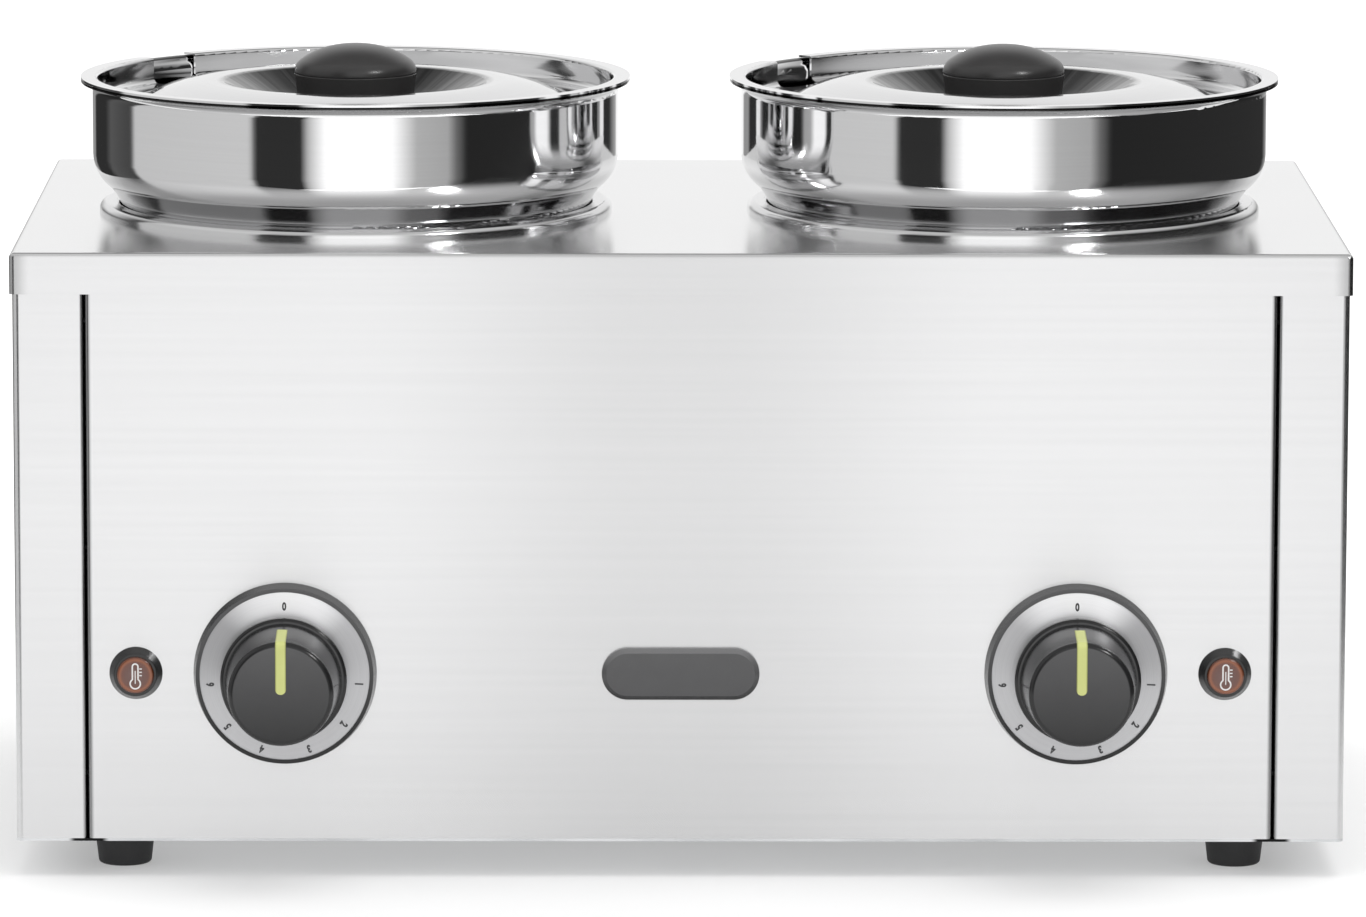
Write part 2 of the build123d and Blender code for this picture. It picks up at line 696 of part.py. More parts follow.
# Dials: each has a black bezel, a silver scale ring, a knob with a pointer strip and a thermostat
for side, sign in sides.items():
    x = dial_x(side)
    dial_section = outward_section(x, body_front, control_height)
    dial_axis = level_axis(x, control_height)
    ring_seat = bezel_height - scale_ring_recess - scale_ring_sheet
    ring_radius = bezel_face_radius - bezel_lip

    with BuildPart() as bezel:
        with BuildSketch(dial_section):
            with BuildLine():
                Polyline(
                    (bezel_bore, bezel_back_recess_depth),
                    (bezel_back_recess_radius, bezel_back_recess_depth),
                    (bezel_back_recess_radius, 0),
                    (bezel_radius, 0),
                    (bezel_face_radius, bezel_height),
                    (ring_radius, bezel_height),
                    (ring_radius, ring_seat),
                    (bezel_bore, ring_seat + scale_ring_rise),
                    close=True,
                )
            make_face()
            fillet(vertices().group_by(Axis.Y)[-1].sort_by(Axis.X)[-1], radius=bezel_lip / 2)
        revolve(axis=dial_axis)
    save(bezel, f"{side}_dial_bezel")

    # The ring is spun as a very shallow cone that rises towards the knob
    ring_slope = scale_ring_rise / (ring_radius - bezel_bore)
    ring_edge = ring_radius - shaft_clearance
    ring_edge_back = ring_seat + ring_slope * shaft_clearance
    ring_bore_back = ring_seat + ring_slope * (ring_radius - scale_ring_bore)
    with BuildPart() as scale_ring:
        with BuildSketch(dial_section):
            with BuildLine():
                Polyline(
                    (ring_edge, ring_edge_back),
                    (scale_ring_bore, ring_bore_back),
                    (scale_ring_bore, ring_bore_back + scale_ring_sheet),
                    (ring_edge, ring_edge_back + scale_ring_sheet),
                    close=True,
                )
            make_face()
        revolve(axis=dial_axis)
    save(scale_ring, f"{side}_scale_ring")

    # Pointer: a strip let into the knob, from the middle of its face over the edge and down its side
    front_plane = Plane(origin=(x, body_front, control_height), x_dir=(1, 0, 0), z_dir=(0, -1, 0))
    with BuildPart() as pointer:
        with BuildSketch(front_plane.offset(pointer_side_end)):
            with Locations((0, pointer_width / 2)):
                Circle(pointer_width / 2)
                Rectangle(pointer_width, dial_flange_radius, align=(Align.CENTER, Align.MIN))
        extrude(amount=dial_reach - pointer_side_end)
        with BuildSketch(dial_section):
            add(grip_outline(pointer_proud))
        revolve(axis=dial_axis, mode=Mode.INTERSECT)
        with BuildSketch(dial_section):
            add(grip_outline(-pointer_depth))
        revolve(axis=dial_axis, mode=Mode.SUBTRACT)
    save(pointer, f"{side}_pointer")

    # Knob: a hub through the bezel's bore, a finger flange and a tapered grip with a flat face
    with BuildPart() as dial_knob:
        with BuildSketch(dial_section):
            add(grip_outline(0))
        revolve(axis=dial_axis)
        with BuildSketch(dial_section):
            with Locations((0, dial_flange_back)):
                Rectangle(dial_flange_radius, dial_flange_front - dial_flange_back, align=Align.MIN)
            fillet(vertices().group_by(Axis.X)[-1], radius=dial_flange_bend)
        revolve(axis=dial_axis)
        with BuildSketch(dial_section):
            with Locations((0, dial_hub_gap)):
                Rectangle(dial_hub_radius, dial_flange_back - dial_hub_gap, align=Align.MIN)
        revolve(axis=dial_axis)
        with BuildSketch(front_plane.offset(dial_hub_gap)):
            add(d_outline(shaft_radius + shaft_clearance, shaft_flat))
        extrude(amount=shaft_engagement + shaft_clearance, mode=Mode.SUBTRACT)
        add(pointer.part, mode=Mode.SUBTRACT)
    save(dial_knob, f"{side}_dial_knob")

    # Shaft of the thermostat: round in its bush, with a flat along the stretch in the knob
    with BuildPart() as shaft:
        with BuildSketch(front_plane.offset(-sheet - shaft_inside)):
            Circle(shaft_radius)
        extrude(amount=sheet + shaft_inside + dial_hub_gap)
        with BuildSketch(front_plane.offset(dial_hub_gap)):
            add(d_outline(shaft_radius, shaft_flat + shaft_clearance))
        extrude(amount=shaft_engagement)
    save(shaft, f"{side}_thermostat_shaft")

    # Thermostat: a moulded block behind the panel with a bush for the shaft and tabs for the wires
    with BuildPart() as thermostat:
        with BuildSketch(front_plane.offset(-sheet)):
            RectangleRounded(thermostat_width, thermostat_height, thermostat_corner)
        extrude(amount=-thermostat_depth)
        chamfer(thermostat.faces().sort_by(Axis.Y)[-1].edges(), length=thermostat_chamfer)
        with BuildSketch(front_plane.offset(-sheet)):
            Circle(thermostat_bush_radius)
        extrude(amount=thermostat_bush_height)
        with BuildSketch(front_plane.offset(thermostat_bush_height - sheet)):
            Circle(shaft_radius + shaft_clearance)
        extrude(amount=-thermostat_bush_height - shaft_inside - seat_gap, mode=Mode.SUBTRACT)
        with BuildSketch(front_plane.offset(-sheet)):
            with GridLocations(thermostat_screw_spacing, 1, 2, 1):
                Circle(thermostat_screw_radius + shaft_clearance)
        extrude(amount=-thermostat_screw_length, mode=Mode.SUBTRACT)
        with BuildSketch(front_plane.offset(-sheet - thermostat_depth)):
            with Locations((0, capillary_exit_drop)):
                with GridLocations(terminal_tab_pitch, 1, 3, 1):
                    Rectangle(terminal_tab_sheet, terminal_tab_width)
        extrude(amount=-terminal_tab_length)
    save(thermostat, f"{side}_thermostat")

    # Capillary tube: out of the thermostat, along the floor of the cabinet and up to the bulb,
    # which stands in the pocket on the well
    back_y = body_front + sheet + thermostat_depth
    pocket_x = well_x(side) - sign * pocket_reach
    floor_z = base_top + capillary_floor_gap
    bulb_bottom = pocket_bottom - (bulb_length - bulb_pocket_length) / 2
    with BuildPart() as capillary:
        with BuildLine() as route:
            FilletPolyline(
                (x, back_y, control_height - capillary_exit_drop),
                (x, back_y + capillary_exit_run, control_height - capillary_exit_drop),
                (x, back_y + capillary_exit_run, floor_z),
                (pocket_x, back_y + capillary_exit_run, floor_z),
                (pocket_x, well_y, floor_z),
                (pocket_x, well_y, bulb_bottom),
                radius=capillary_bend,
            )
        with BuildSketch(Plane(origin=route.line @ 0, z_dir=route.line % 0)):
            Circle(capillary_radius)
        sweep(path=route.line)
        with BuildSketch(Plane.XY.offset(bulb_bottom)):
            with Locations((pocket_x, well_y)):
                Circle(bulb_radius)
        extrude(amount=bulb_length)
        fillet(capillary.faces().sort_by(Axis.Z)[-1].edges(), radius=bulb_radius / 2)
    save(capillary, f"{side}_capillary")

# Screws through the panel into the thermostats, hidden behind the bezels
with BuildPart() as thermostat_screws:
    with BuildSketch(facing_front(body_front)):
        with Locations((0, control_height)):
            with GridLocations(dial_spacing, 1, 2, 1):
                with GridLocations(thermostat_screw_spacing, 1, 2, 1):
                    Circle(thermostat_screw_head_radius)
    extrude(amount=thermostat_screw_head_height)
    with BuildSketch(facing_front(body_front)):
        with Locations((0, control_height)):
            with GridLocations(dial_spacing, 1, 2, 1):
                with GridLocations(thermostat_screw_spacing, 1, 2, 1):
                    Circle(thermostat_screw_radius)
    extrude(amount=-thermostat_screw_length)
save(thermostat_screws, "thermostat_screws")

# Pilot lamps: a housing with a barrel through the panel, a domed lens and a nut behind
for side, sign in sides.items():
    x = sign * pilot_spacing / 2
    lamp_section = outward_section(x, body_front, control_height)
    lamp_axis = level_axis(x, control_height)
    lens_seat = pilot_height - pilot_lens_depth
    with BuildPart() as pilot_housing:
        with BuildSketch(lamp_section):
            with BuildLine():
                Polyline(
                    (0, -pilot_barrel_length),
                    (pilot_barrel_radius, -pilot_barrel_length),
                    (pilot_barrel_radius, 0),
                    (pilot_radius, 0),
                    (pilot_face_radius, pilot_height),
                    (pilot_lens_radius + shaft_clearance, pilot_height),
                    (pilot_lens_radius + shaft_clearance, lens_seat),
                    (0, lens_seat),
                    close=True,
                )
            make_face()
            fillet(vertices().group_by(Axis.Y)[-1].sort_by(Axis.X)[-1], radius=pilot_lens_edge / 2)
        revolve(axis=lamp_axis)
        with BuildSketch(facing_front(body_front + pilot_barrel_length)):
            with Locations((x, control_height)):
                with GridLocations(pilot_barrel_radius, 1, 2, 1):
                    Rectangle(terminal_tab_sheet, terminal_tab_width)
        extrude(amount=-terminal_tab_length)
    save(pilot_housing, f"{side}_pilot_housing")

    lens_face = pilot_height + pilot_lens_proud
    with BuildPart() as pilot_lens:
        with BuildSketch(lamp_section):
            with BuildLine():
                rim = Polyline(
                    (0, lens_seat),
                    (pilot_lens_radius, lens_seat),
                    (pilot_lens_radius, lens_face - pilot_lens_edge),
                )
                dome = TangentArc(rim @ 1, (pilot_lens_radius - pilot_lens_edge, lens_face), tangent=(0, 1))
                Line(dome @ 1, (0, lens_face))
                Line((0, lens_face), (0, lens_seat))
            make_face()
        revolve(axis=lamp_axis)
    save(pilot_lens, f"{side}_pilot_lens")

with BuildPart() as pilot_nuts:
    with BuildSketch(facing_front(body_front + sheet)):
        with Locations((0, control_height)):
            with GridLocations(pilot_spacing, 1, 2, 1):
                RegularPolygon(pilot_nut_radius, 6)
                Circle(pilot_barrel_radius + shaft_clearance, mode=Mode.SUBTRACT)
    extrude(amount=-pilot_nut_height)
save(pilot_nuts, "pilot_nuts")

# Name plate: a bare bevelled plate with round ends
with BuildPart() as name_plate:
    with BuildSketch(facing_front(body_front)):
        with Locations((0, control_height)):
            SlotOverall(name_plate_width, name_plate_height)
    extrude(amount=name_plate_depth)
    chamfer(name_plate.faces().sort_by(Axis.Y)[0].edges(), length=name_plate_bevel)
save(name_plate, "name_plate")

# Heating: a tubular ring under each well, held up by a dished clamp plate on the well's stud
element_level = well_underside - seat_gap - element_radius
clamp_hub_level = well_underside - seat_gap
clamp_channel_level = element_level - element_radius - seat_gap
leg_turn = 90 - element_ring_gap / 2
ring_end_offset = element_ring_radius * sin(radians(element_ring_gap / 2))
leg_offset = ring_end_offset - element_leg_bend * (1 - cos(radians(leg_turn)))
clamp_slot_width = 2 * (leg_offset + element_radius + clamp_slot_clearance)
for side in sides:
    x = well_x(side)
    rearward = Plane(origin=(x, well_y, element_level), x_dir=(0, 1, 0), z_dir=(0, 0, 1))
    with BuildPart() as element:
        with BuildLine(rearward) as tube_line:
            ring = CenterArc((0, 0), element_ring_radius, element_ring_gap / 2, 360 - element_ring_gap)
            end_bend = JernArc(ring @ 1, ring % 1, element_leg_bend, -leg_turn)
            end_leg = Line(end_bend @ 1, end_bend @ 1 + end_bend % 1 * element_leg_length)
            start_bend = JernArc(ring @ 0, ring % 0 * -1, element_leg_bend, leg_turn)
            start_leg = Line(start_bend @ 1, start_bend @ 1 + start_bend % 1 * element_leg_length)
        leg_ends = [end_leg @ 1, start_leg @ 1]
        tube_wire = tube_line.wire()
        with BuildSketch(Plane(origin=tube_wire @ 0, z_dir=tube_wire % 0)):
            Circle(element_radius)
        sweep(path=tube_wire)
        for leg_end in leg_ends:
            with BuildSketch(Plane(origin=leg_end, z_dir=(0, 1, 0))):
                Circle(element_pin_radius)
            extrude(amount=element_pin_length)
    save(element, f"{side}_heating_element")

    channel_inner = element_ring_radius - element_radius - clamp_channel_slope
    channel_outer = element_ring_radius + element_radius + clamp_channel_slope
    with BuildPart() as clamp:
        with BuildSketch(upright_section(x, well_y, 0)):
            with BuildLine():
                FilletPolyline(
                    (stud_radius + screw_clearance, clamp_hub_level),
                    (channel_inner - clamp_channel_slope, clamp_hub_level),
                    (channel_inner, clamp_channel_level),
                    (channel_outer, clamp_channel_level),
                    (channel_outer + clamp_channel_slope, clamp_hub_level),
                    (clamp_rim_radius, clamp_hub_level),
                    radius=clamp_bend,
                )
                offset(amount=clamp_sheet, side=Side.RIGHT)
            make_face()
        revolve(axis=upright_axis(x, well_y))
        with BuildSketch(rearward):
            with Locations((element_ring_radius + element_radius, 0)):
                Rectangle(clamp_rim_radius, clamp_slot_width, align=(Align.MIN, Align.CENTER))
        extrude(amount=2 * element_radius, both=True, mode=Mode.SUBTRACT)
    save(clamp, f"{side}_heater_plate")

with BuildPart() as heater_nuts:
    with BuildSketch(Plane.XY.offset(clamp_hub_level - clamp_sheet)):
        with Locations((0, well_y)):
            with GridLocations(pot_spacing, 1, 2, 1):
                RegularPolygon(stud_nut_across_flats / 2, 6, major_radius=False)
                Circle(stud_radius + shaft_clearance, mode=Mode.SUBTRACT)
    extrude(amount=-stud_nut_height)
save(heater_nuts, "heater_nuts")

# Cord gland through the rear panel, and its lock nut inside
gland_section = rearward_section(gland_x, body_rear, gland_height)
gland_axis = level_axis(gland_x, gland_height)
with BuildPart() as cable_gland:
    with BuildSketch(facing_front(body_rear)):
        with Locations((gland_x, gland_height)):
            RegularPolygon(gland_hex_across_flats / 2, 6, major_radius=False)
            Circle(gland_bore_radius, mode=Mode.SUBTRACT)
    extrude(amount=-gland_hex_height)
    with BuildSketch(gland_section):
        with BuildLine():
            Polyline(
                (gland_bore_radius, -gland_thread_length),
                (gland_thread_radius, -gland_thread_length),
                (gland_thread_radius, 0),
                (gland_dome_radius, gland_hex_height),
                (gland_dome_radius, gland_reach),
                (gland_bore_radius, gland_reach),
                close=True,
            )
        make_face()
        fillet(vertices().group_by(Axis.Y)[-1].sort_by(Axis.X)[-1], radius=gland_dome_bend)
    revolve(axis=gland_axis)
save(cable_gland, "cable_gland")

with BuildPart() as gland_nut:
    with BuildSketch(facing_front(body_rear - sheet)):
        with Locations((gland_x, gland_height)):
            RegularPolygon(gland_hex_across_flats / 2, 6, major_radius=False)
            Circle(gland_thread_radius + shaft_clearance, mode=Mode.SUBTRACT)
    extrude(amount=gland_nut_height)
save(gland_nut, "gland_nut")

# Terminal block on the base plate, near the gland
with BuildPart() as terminal_block:
    block_y = body_rear - terminal_block_setback
    with BuildSketch(Plane.XY.offset(base_top)):
        with Locations((gland_x, block_y)):
            RectangleRounded(terminal_block_width, terminal_block_depth, terminal_corner)
    extrude(amount=terminal_block_height)
    wire_level = base_top + terminal_block_height / 2
    with BuildSketch(facing_front(block_y)):
        with Locations((gland_x, wire_level)):
            with GridLocations(terminal_pitch, 1, 3, 1):
                Circle(terminal_wire_radius)
    extrude(amount=terminal_block_depth, both=True, mode=Mode.SUBTRACT)
    with BuildSketch(Plane.XY.offset(base_top + terminal_block_height)):
        with Locations((gland_x, block_y)):
            with GridLocations(terminal_pitch, terminal_block_depth / 2, 3, 2):
                Circle(terminal_screw_radius)
    extrude(amount=-terminal_block_height / 2, mode=Mode.SUBTRACT)
save(terminal_block, "terminal_block")

# Earth stud pressed into the base plate, with its nut
with BuildPart() as earth_stud:
    with BuildSketch(Plane.XY.offset(base_bottom)):
        with Locations((earth_stud_x, earth_stud_y)):
            Circle(earth_head_radius)
    extrude(amount=-earth_head_height)
    with BuildSketch(Plane.XY.offset(base_bottom)):
        with Locations((earth_stud_x, earth_stud_y)):
            Circle(earth_stud_radius)
    extrude(amount=earth_stud_length)
save(earth_stud, "earth_stud")

with BuildPart() as earth_nut:
    with BuildSketch(Plane.XY.offset(base_top)):
        with Locations((earth_stud_x, earth_stud_y)):
            RegularPolygon(earth_nut_across_flats / 2, 6, major_radius=False)
            Circle(earth_stud_radius + shaft_clearance, mode=Mode.SUBTRACT)
    extrude(amount=earth_nut_height)
save(earth_nut, "earth_nut")
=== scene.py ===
# %% [markdown]
# # A twin-pot bain marie, from bare frame to finished picture
# A bain marie keeps sauces warm in pots that hang in heated water. This one is a low steel cabinet
# with two round pots, a dial and a pilot lamp for each, and four rubber feet. Its solids arrive as a
# fixed frame, already in place and in metres. This script adds what solids can't carry: the finish of
# every surface, the numbers and signs, the light, the floor and the camera.

# %% Load the frame
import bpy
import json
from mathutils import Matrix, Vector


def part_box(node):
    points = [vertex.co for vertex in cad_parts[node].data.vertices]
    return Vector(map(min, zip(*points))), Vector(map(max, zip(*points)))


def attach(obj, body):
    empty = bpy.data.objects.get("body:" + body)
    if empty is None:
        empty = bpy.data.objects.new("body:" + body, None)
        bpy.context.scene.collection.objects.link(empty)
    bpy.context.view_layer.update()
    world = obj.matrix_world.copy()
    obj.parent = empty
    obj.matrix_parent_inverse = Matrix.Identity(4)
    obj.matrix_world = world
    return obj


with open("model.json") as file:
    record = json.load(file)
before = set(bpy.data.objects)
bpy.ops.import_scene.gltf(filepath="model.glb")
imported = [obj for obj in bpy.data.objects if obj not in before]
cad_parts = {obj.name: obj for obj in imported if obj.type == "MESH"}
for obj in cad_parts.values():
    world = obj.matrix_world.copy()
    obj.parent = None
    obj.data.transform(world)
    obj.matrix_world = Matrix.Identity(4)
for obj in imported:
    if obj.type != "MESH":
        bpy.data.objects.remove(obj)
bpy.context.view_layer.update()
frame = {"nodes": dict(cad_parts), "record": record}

# %% [markdown]
# ## Landmarks
# Everything that is added later needs a place. It could be typed in as numbers, but the frame already
# knows where its pieces are, so the script asks for their boxes. The dial and lamp centres, the pots'
# axes, the top's ends and the seams then stay right even if the frame changes.

# %% Measure the landmarks
import json
import math
import bpy
import numpy as np
from mathutils import Matrix

MM = 0.001
MICRON = 0.000001
SIDES = {"left": -1.0, "right": 1.0}


def middle(node):
    low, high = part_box(node)
    return (np.array(low) + np.array(high)) / 2


def half_width(node):
    low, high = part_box(node)
    return (high[0] - low[0]) / 2


dial_x = middle("right_dial_bezel")[0]
control_z = middle("right_dial_bezel")[2]
pilot_x = middle("right_pilot_lens")[0]
pot_x, pot_y = middle("right_pot")[0], middle("right_pot")[1]
top_side, lip_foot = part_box("top_panel")[1][0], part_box("top_panel")[0][2]
seam_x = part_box("front_panel")[1][0]
print("dial", round(dial_x, 4), "pilot", round(pilot_x, 4), "pot", round(pot_x, 4), round(pot_y, 4))

# %% [markdown]
# ## Camera
# The photograph was taken from far away with a long lens: the sides of the top run together only
# slightly, and the lids show as flat ellipses. A camera could be placed by eye, but matching known
# corners of the cabinet to their places in the picture gives the distance, the tilt and the lens. The
# picture is 1366 by 917 pixels, and the lens below is the focal length in pixels times 36 mm / 1366.

# %% Place the camera
picture_width = 1366
focal_length = 9074.0
sensor_width = 36.0
camera_data = bpy.data.cameras.new("camera")
camera_data.sensor_width = sensor_width
camera_data.lens = focal_length / picture_width * sensor_width
camera_data.clip_end = 50.0
camera = bpy.data.objects.new("camera", camera_data)
bpy.context.collection.objects.link(camera)
bpy.context.scene.camera = camera


def camera_turn(down, right, roll):
    """Turn that looks along +Y, tilted down, swung to the right and rolled, all in degrees."""
    down, right, roll = (math.radians(a) for a in (down, right, roll))
    ahead = np.array([math.sin(right) * math.cos(down), math.cos(right) * math.cos(down), -math.sin(down)])
    across = np.array([math.cos(right), -math.sin(right), 0.0])
    up = np.cross(across, ahead)
    rolled_across = math.cos(roll) * across + math.sin(roll) * up
    rolled_up = math.cos(roll) * up - math.sin(roll) * across
    return np.stack([rolled_across, rolled_up, -ahead], axis=1)


place = np.eye(4)
place[:3, :3] = camera_turn(8.7603, 0.3841, 0.1251)
place[:3, 3] = (-0.02171, -3.47673, 0.67488)
camera.matrix_world = Matrix(place.tolist())
bpy.context.view_layer.update()
print("camera at", [round(v, 3) for v in camera.matrix_world.translation], "lens", round(camera_data.lens, 1))

# %% [markdown]
# ## Floor
# The object stands on a plain white table. One big plane would do, but polished steel mirrors it, and
# the pots in the photograph mirror the dark and light panels that stand beyond a small table. So the
# floor is two flat rings that meet without a seam: the inner one is seen by everything, and the outer
# one isn't mirrored. A grid of angles and radii gives both: x = r cos a, y = r sin a.

# %% Make the floor
def mesh_object(name, verts, faces, smooth=True):
    """A mesh object from an N x 3 array of places and an array of faces, with its origin at zero."""
    mesh = bpy.data.meshes.new(name)
    mesh.from_pydata(verts.tolist(), [], faces.tolist())
    mesh.polygons.foreach_set("use_smooth", np.full(len(mesh.polygons), smooth))
    mesh.update()
    thing = bpy.data.objects.new(name, mesh)
    bpy.context.collection.objects.link(thing)
    return thing


def grid_faces(rows, columns, wrap=False):
    """Quads of a grid of rows x columns points; wrap joins the last column to the first."""
    across = columns if wrap else columns - 1
    i, j = np.meshgrid(np.arange(rows - 1), np.arange(across), indexing="ij")
    k = (j + 1) % columns
    quads = [i * columns + j, i * columns + k, (i + 1) * columns + k, (i + 1) * columns + j]
    return np.stack([q.ravel() for q in quads], axis=1)


def flat_ring(name, inner, outer, steps=96):
    """Level ring at floor height: each point is (r cos a, r sin a, 0), with its face upwards."""
    angle = np.linspace(0, 2 * np.pi, steps, endpoint=False)
    radius = np.array([outer, inner])
    x, y = radius[:, None] * np.cos(angle), radius[:, None] * np.sin(angle)
    verts = np.stack([x, y, np.zeros_like(x)], axis=-1).reshape(-1, 3)
    return mesh_object(name, verts, grid_faces(2, steps, wrap=True), smooth=False)


table_radius = 0.62
floor_near = flat_ring("floor_near", 0.0005, table_radius)
floor_far = flat_ring("floor_far", table_radius, 14.0)
floor_far.visible_glossy = False
print("floor", [len(f.data.polygons) for f in (floor_near, floor_far)])

# %% [markdown]
# ## Node helpers
# Blender's materials are graphs. Writing one needs the same few steps again and again: add a node, set
# its values, join two sockets. A few short helpers keep each material readable.

# %% Helpers for graphs
def add_node(tree, kind, values=None, **settings):
    """A node of that kind with its settings, and its unlinked inputs set from values by name or index."""
    made = tree.nodes.new(kind)
    for key, value in settings.items():
        setattr(made, key, value)
    for key, value in (values or {}).items():
        if isinstance(value, bpy.types.NodeSocket):
            tree.links.new(value, made.inputs[key])
        else:
            made.inputs[key].default_value = value
    return made


def calculate(tree, operation, *values):
    """One Math node; each value is a number or a socket."""
    made = add_node(tree, "ShaderNodeMath", dict(enumerate(values)), operation=operation)
    return made.outputs[0]


def ramp(tree, factor, stops, blend="LINEAR"):
    """A ColorRamp whose stops are (position, grey or colour)."""
    made = add_node(tree, "ShaderNodeValToRGB", {"Fac": factor})
    made.color_ramp.interpolation = blend
    elements = made.color_ramp.elements
    elements[0].position, elements[-1].position = stops[0][0], stops[-1][0]
    for position, _ in stops[1:-1]:
        elements.new(position)
    for element, (_, colour) in zip(sorted(elements, key=lambda e: e.position), stops):
        shade = (colour, colour, colour) if isinstance(colour, (int, float)) else colour
        element.color = (*shade, 1.0)
    return made.outputs["Color"]


def mix_colour(tree, factor, a, b, blend="MIX"):
    made = add_node(tree, "ShaderNodeMix", data_type="RGBA", blend_type=blend)
    for index, value in ((0, factor), (6, a), (7, b)):
        if isinstance(value, bpy.types.NodeSocket):
            tree.links.new(value, made.inputs[index])
        elif index == 0:
            made.inputs[index].default_value = value
        else:
            made.inputs[index].default_value = (*value, 1.0)
    return made.outputs[2]


def coordinate(tree, kind):
    """The surface's own place, "Object", or the way it faces, "Normal"."""
    return add_node(tree, "ShaderNodeTexCoord").outputs[kind]


def axes_of(tree, vector):
    """A node whose outputs X, Y and Z are the parts of a vector."""
    return add_node(tree, "ShaderNodeSeparateXYZ", {"Vector": vector})


def spread(tree, value, start, end, low=0.0, high=1.0, way="LINEAR"):
    """Runs from low to high while value goes from start to end, and stays level beyond."""
    ranges = {"Value": value, "From Min": start, "From Max": end, "To Min": low, "To Max": high}
    return add_node(tree, "ShaderNodeMapRange", ranges, interpolation_type=way).outputs[0]


def eased(tree, value, start, end, low, high):
    """As spread, with a soft start and a soft end."""
    return spread(tree, value, start, end, low, high, "SMOOTHSTEP")


print("helpers ready")

# %% [markdown]
# ## Studio screens
# Polished steel has hardly any colour of its own: it shows the room. The photographer stood a white
# screen behind the camera, a grey one to the left and dark ones between, and that is what draws the
# hard bands on the pots. Towards the camera the screens reach high, and behind the object a bright
# wall ends in a dark gap below the ceiling lamps. One group turns a direction into the light that
# comes from there.

# %% Describe the screens
def start_group(name, inputs, outputs, kind="NodeSocketFloat"):
    """An empty shader group. inputs are (name, default) numbers, outputs are names."""
    tree = bpy.data.node_groups.new(name, "ShaderNodeTree")
    for label, value in inputs:
        socket = tree.interface.new_socket(label, in_out="INPUT", socket_type="NodeSocketFloat")
        socket.default_value = value
    for label in outputs:
        tree.interface.new_socket(label, in_out="OUTPUT", socket_type=kind)
    return tree, tree.nodes.new("NodeGroupInput"), tree.nodes.new("NodeGroupOutput")


def screens_group():
    """Light by compass direction, in degrees from the camera, and by height above the horizon."""
    inputs = [(axis, 0.0) for axis in "XYZ"]
    tree, inside, outside = start_group("studio_screens", inputs, ["Light"], "NodeSocketColor")
    toward = add_node(tree, "ShaderNodeCombineXYZ", {axis: inside.outputs[axis] for axis in "XYZ"})
    unit = add_node(tree, "ShaderNodeVectorMath", {0: toward.outputs[0]}, operation="NORMALIZE")
    split = axes_of(tree, unit.outputs[0])
    ahead = calculate(tree, "MULTIPLY", split.outputs["Y"], -1.0)
    compass = calculate(tree, "ARCTAN2", split.outputs["X"], ahead)
    turn = calculate(tree, "MULTIPLY_ADD", compass, 0.5 / math.pi, 0.5)
    screens = [
        (-180, 1.0), (-167, 1.0), (-163, 0.30), (-154, 0.30), (-151, 0.03), (-134, 0.03), (-128, 0.10),
        (-110, 0.06), (-107, 0.60), (-47, 0.64), (-44.5, 0.03), (-25, 0.03), (-22, 0.55), (-15, 1.2),
        (13, 1.2), (19.5, 0.75), (24, 0.48), (38, 0.42), (42, 0.16), (47, 0.02), (150, 0.03),
        (157, 0.25), (163, 0.40), (167, 1.0), (180, 1.0),
    ]
    bands = ramp(tree, turn, [(0.5 + degrees / 360, light) for degrees, light in screens])
    height = split.outputs["Z"]
    behind = ramp(tree, height, [(0.0, 0.0), (0.10, 0.0), (0.30, 1.0), (1.0, 1.0)])
    before = ramp(tree, height, [(0.0, 0.0), (0.42, 0.0), (0.80, 1.0), (1.0, 1.0)])
    toward_camera = calculate(tree, "MULTIPLY_ADD", ahead, 0.5, 0.5)
    camera_side = ramp(tree, toward_camera, [(0.0, 0.0), (0.12, 0.0), (0.30, 1.0), (1.0, 1.0)])
    gap = ramp(tree, height, [(0.0, 0.92), (0.62, 0.85), (0.80, 0.14), (1.0, 0.12)])
    lamps = ramp(tree, height, [(0.0, 0.92), (0.62, 0.85), (0.80, 0.62), (1.0, 0.58)])
    rearward = ramp(tree, split.outputs["Y"], [(0.0, 0.0), (0.15, 0.0), (0.42, 1.0), (1.0, 1.0)])
    roof = mix_colour(tree, rearward, lamps, gap)
    light = mix_colour(tree, mix_colour(tree, camera_side, behind, before), bands, roof)
    tree.links.new(light, outside.inputs["Light"])
    return tree


studio_screens = screens_group()
print(studio_screens.name, len(studio_screens.nodes), "nodes")

# %% [markdown]
# ## Studio light
# The same light is used twice. The sky shows it to whatever looks past the table, and a drum of
# screens, 1.8 m out, shows it to mirroring steel at its true distance, so the bands fall differently
# on the two pots. Matt things see a plain soft dome and a wide softbox overhead instead, as they would
# under a ceiling of diffusers, so the floor and the rubber stay evenly lit. A small lamp at the upper
# right is seen by glossy things alone, and draws the thin bright arcs on the black knobs.

# %% Light the scene
def place_screens(tree, vector):
    split = axes_of(tree, vector)
    made = tree.nodes.new("ShaderNodeGroup")
    made.node_tree = studio_screens
    for axis in "XYZ":
        tree.links.new(split.outputs[axis], made.inputs[axis])
    return made.outputs["Light"], split.outputs["Z"]


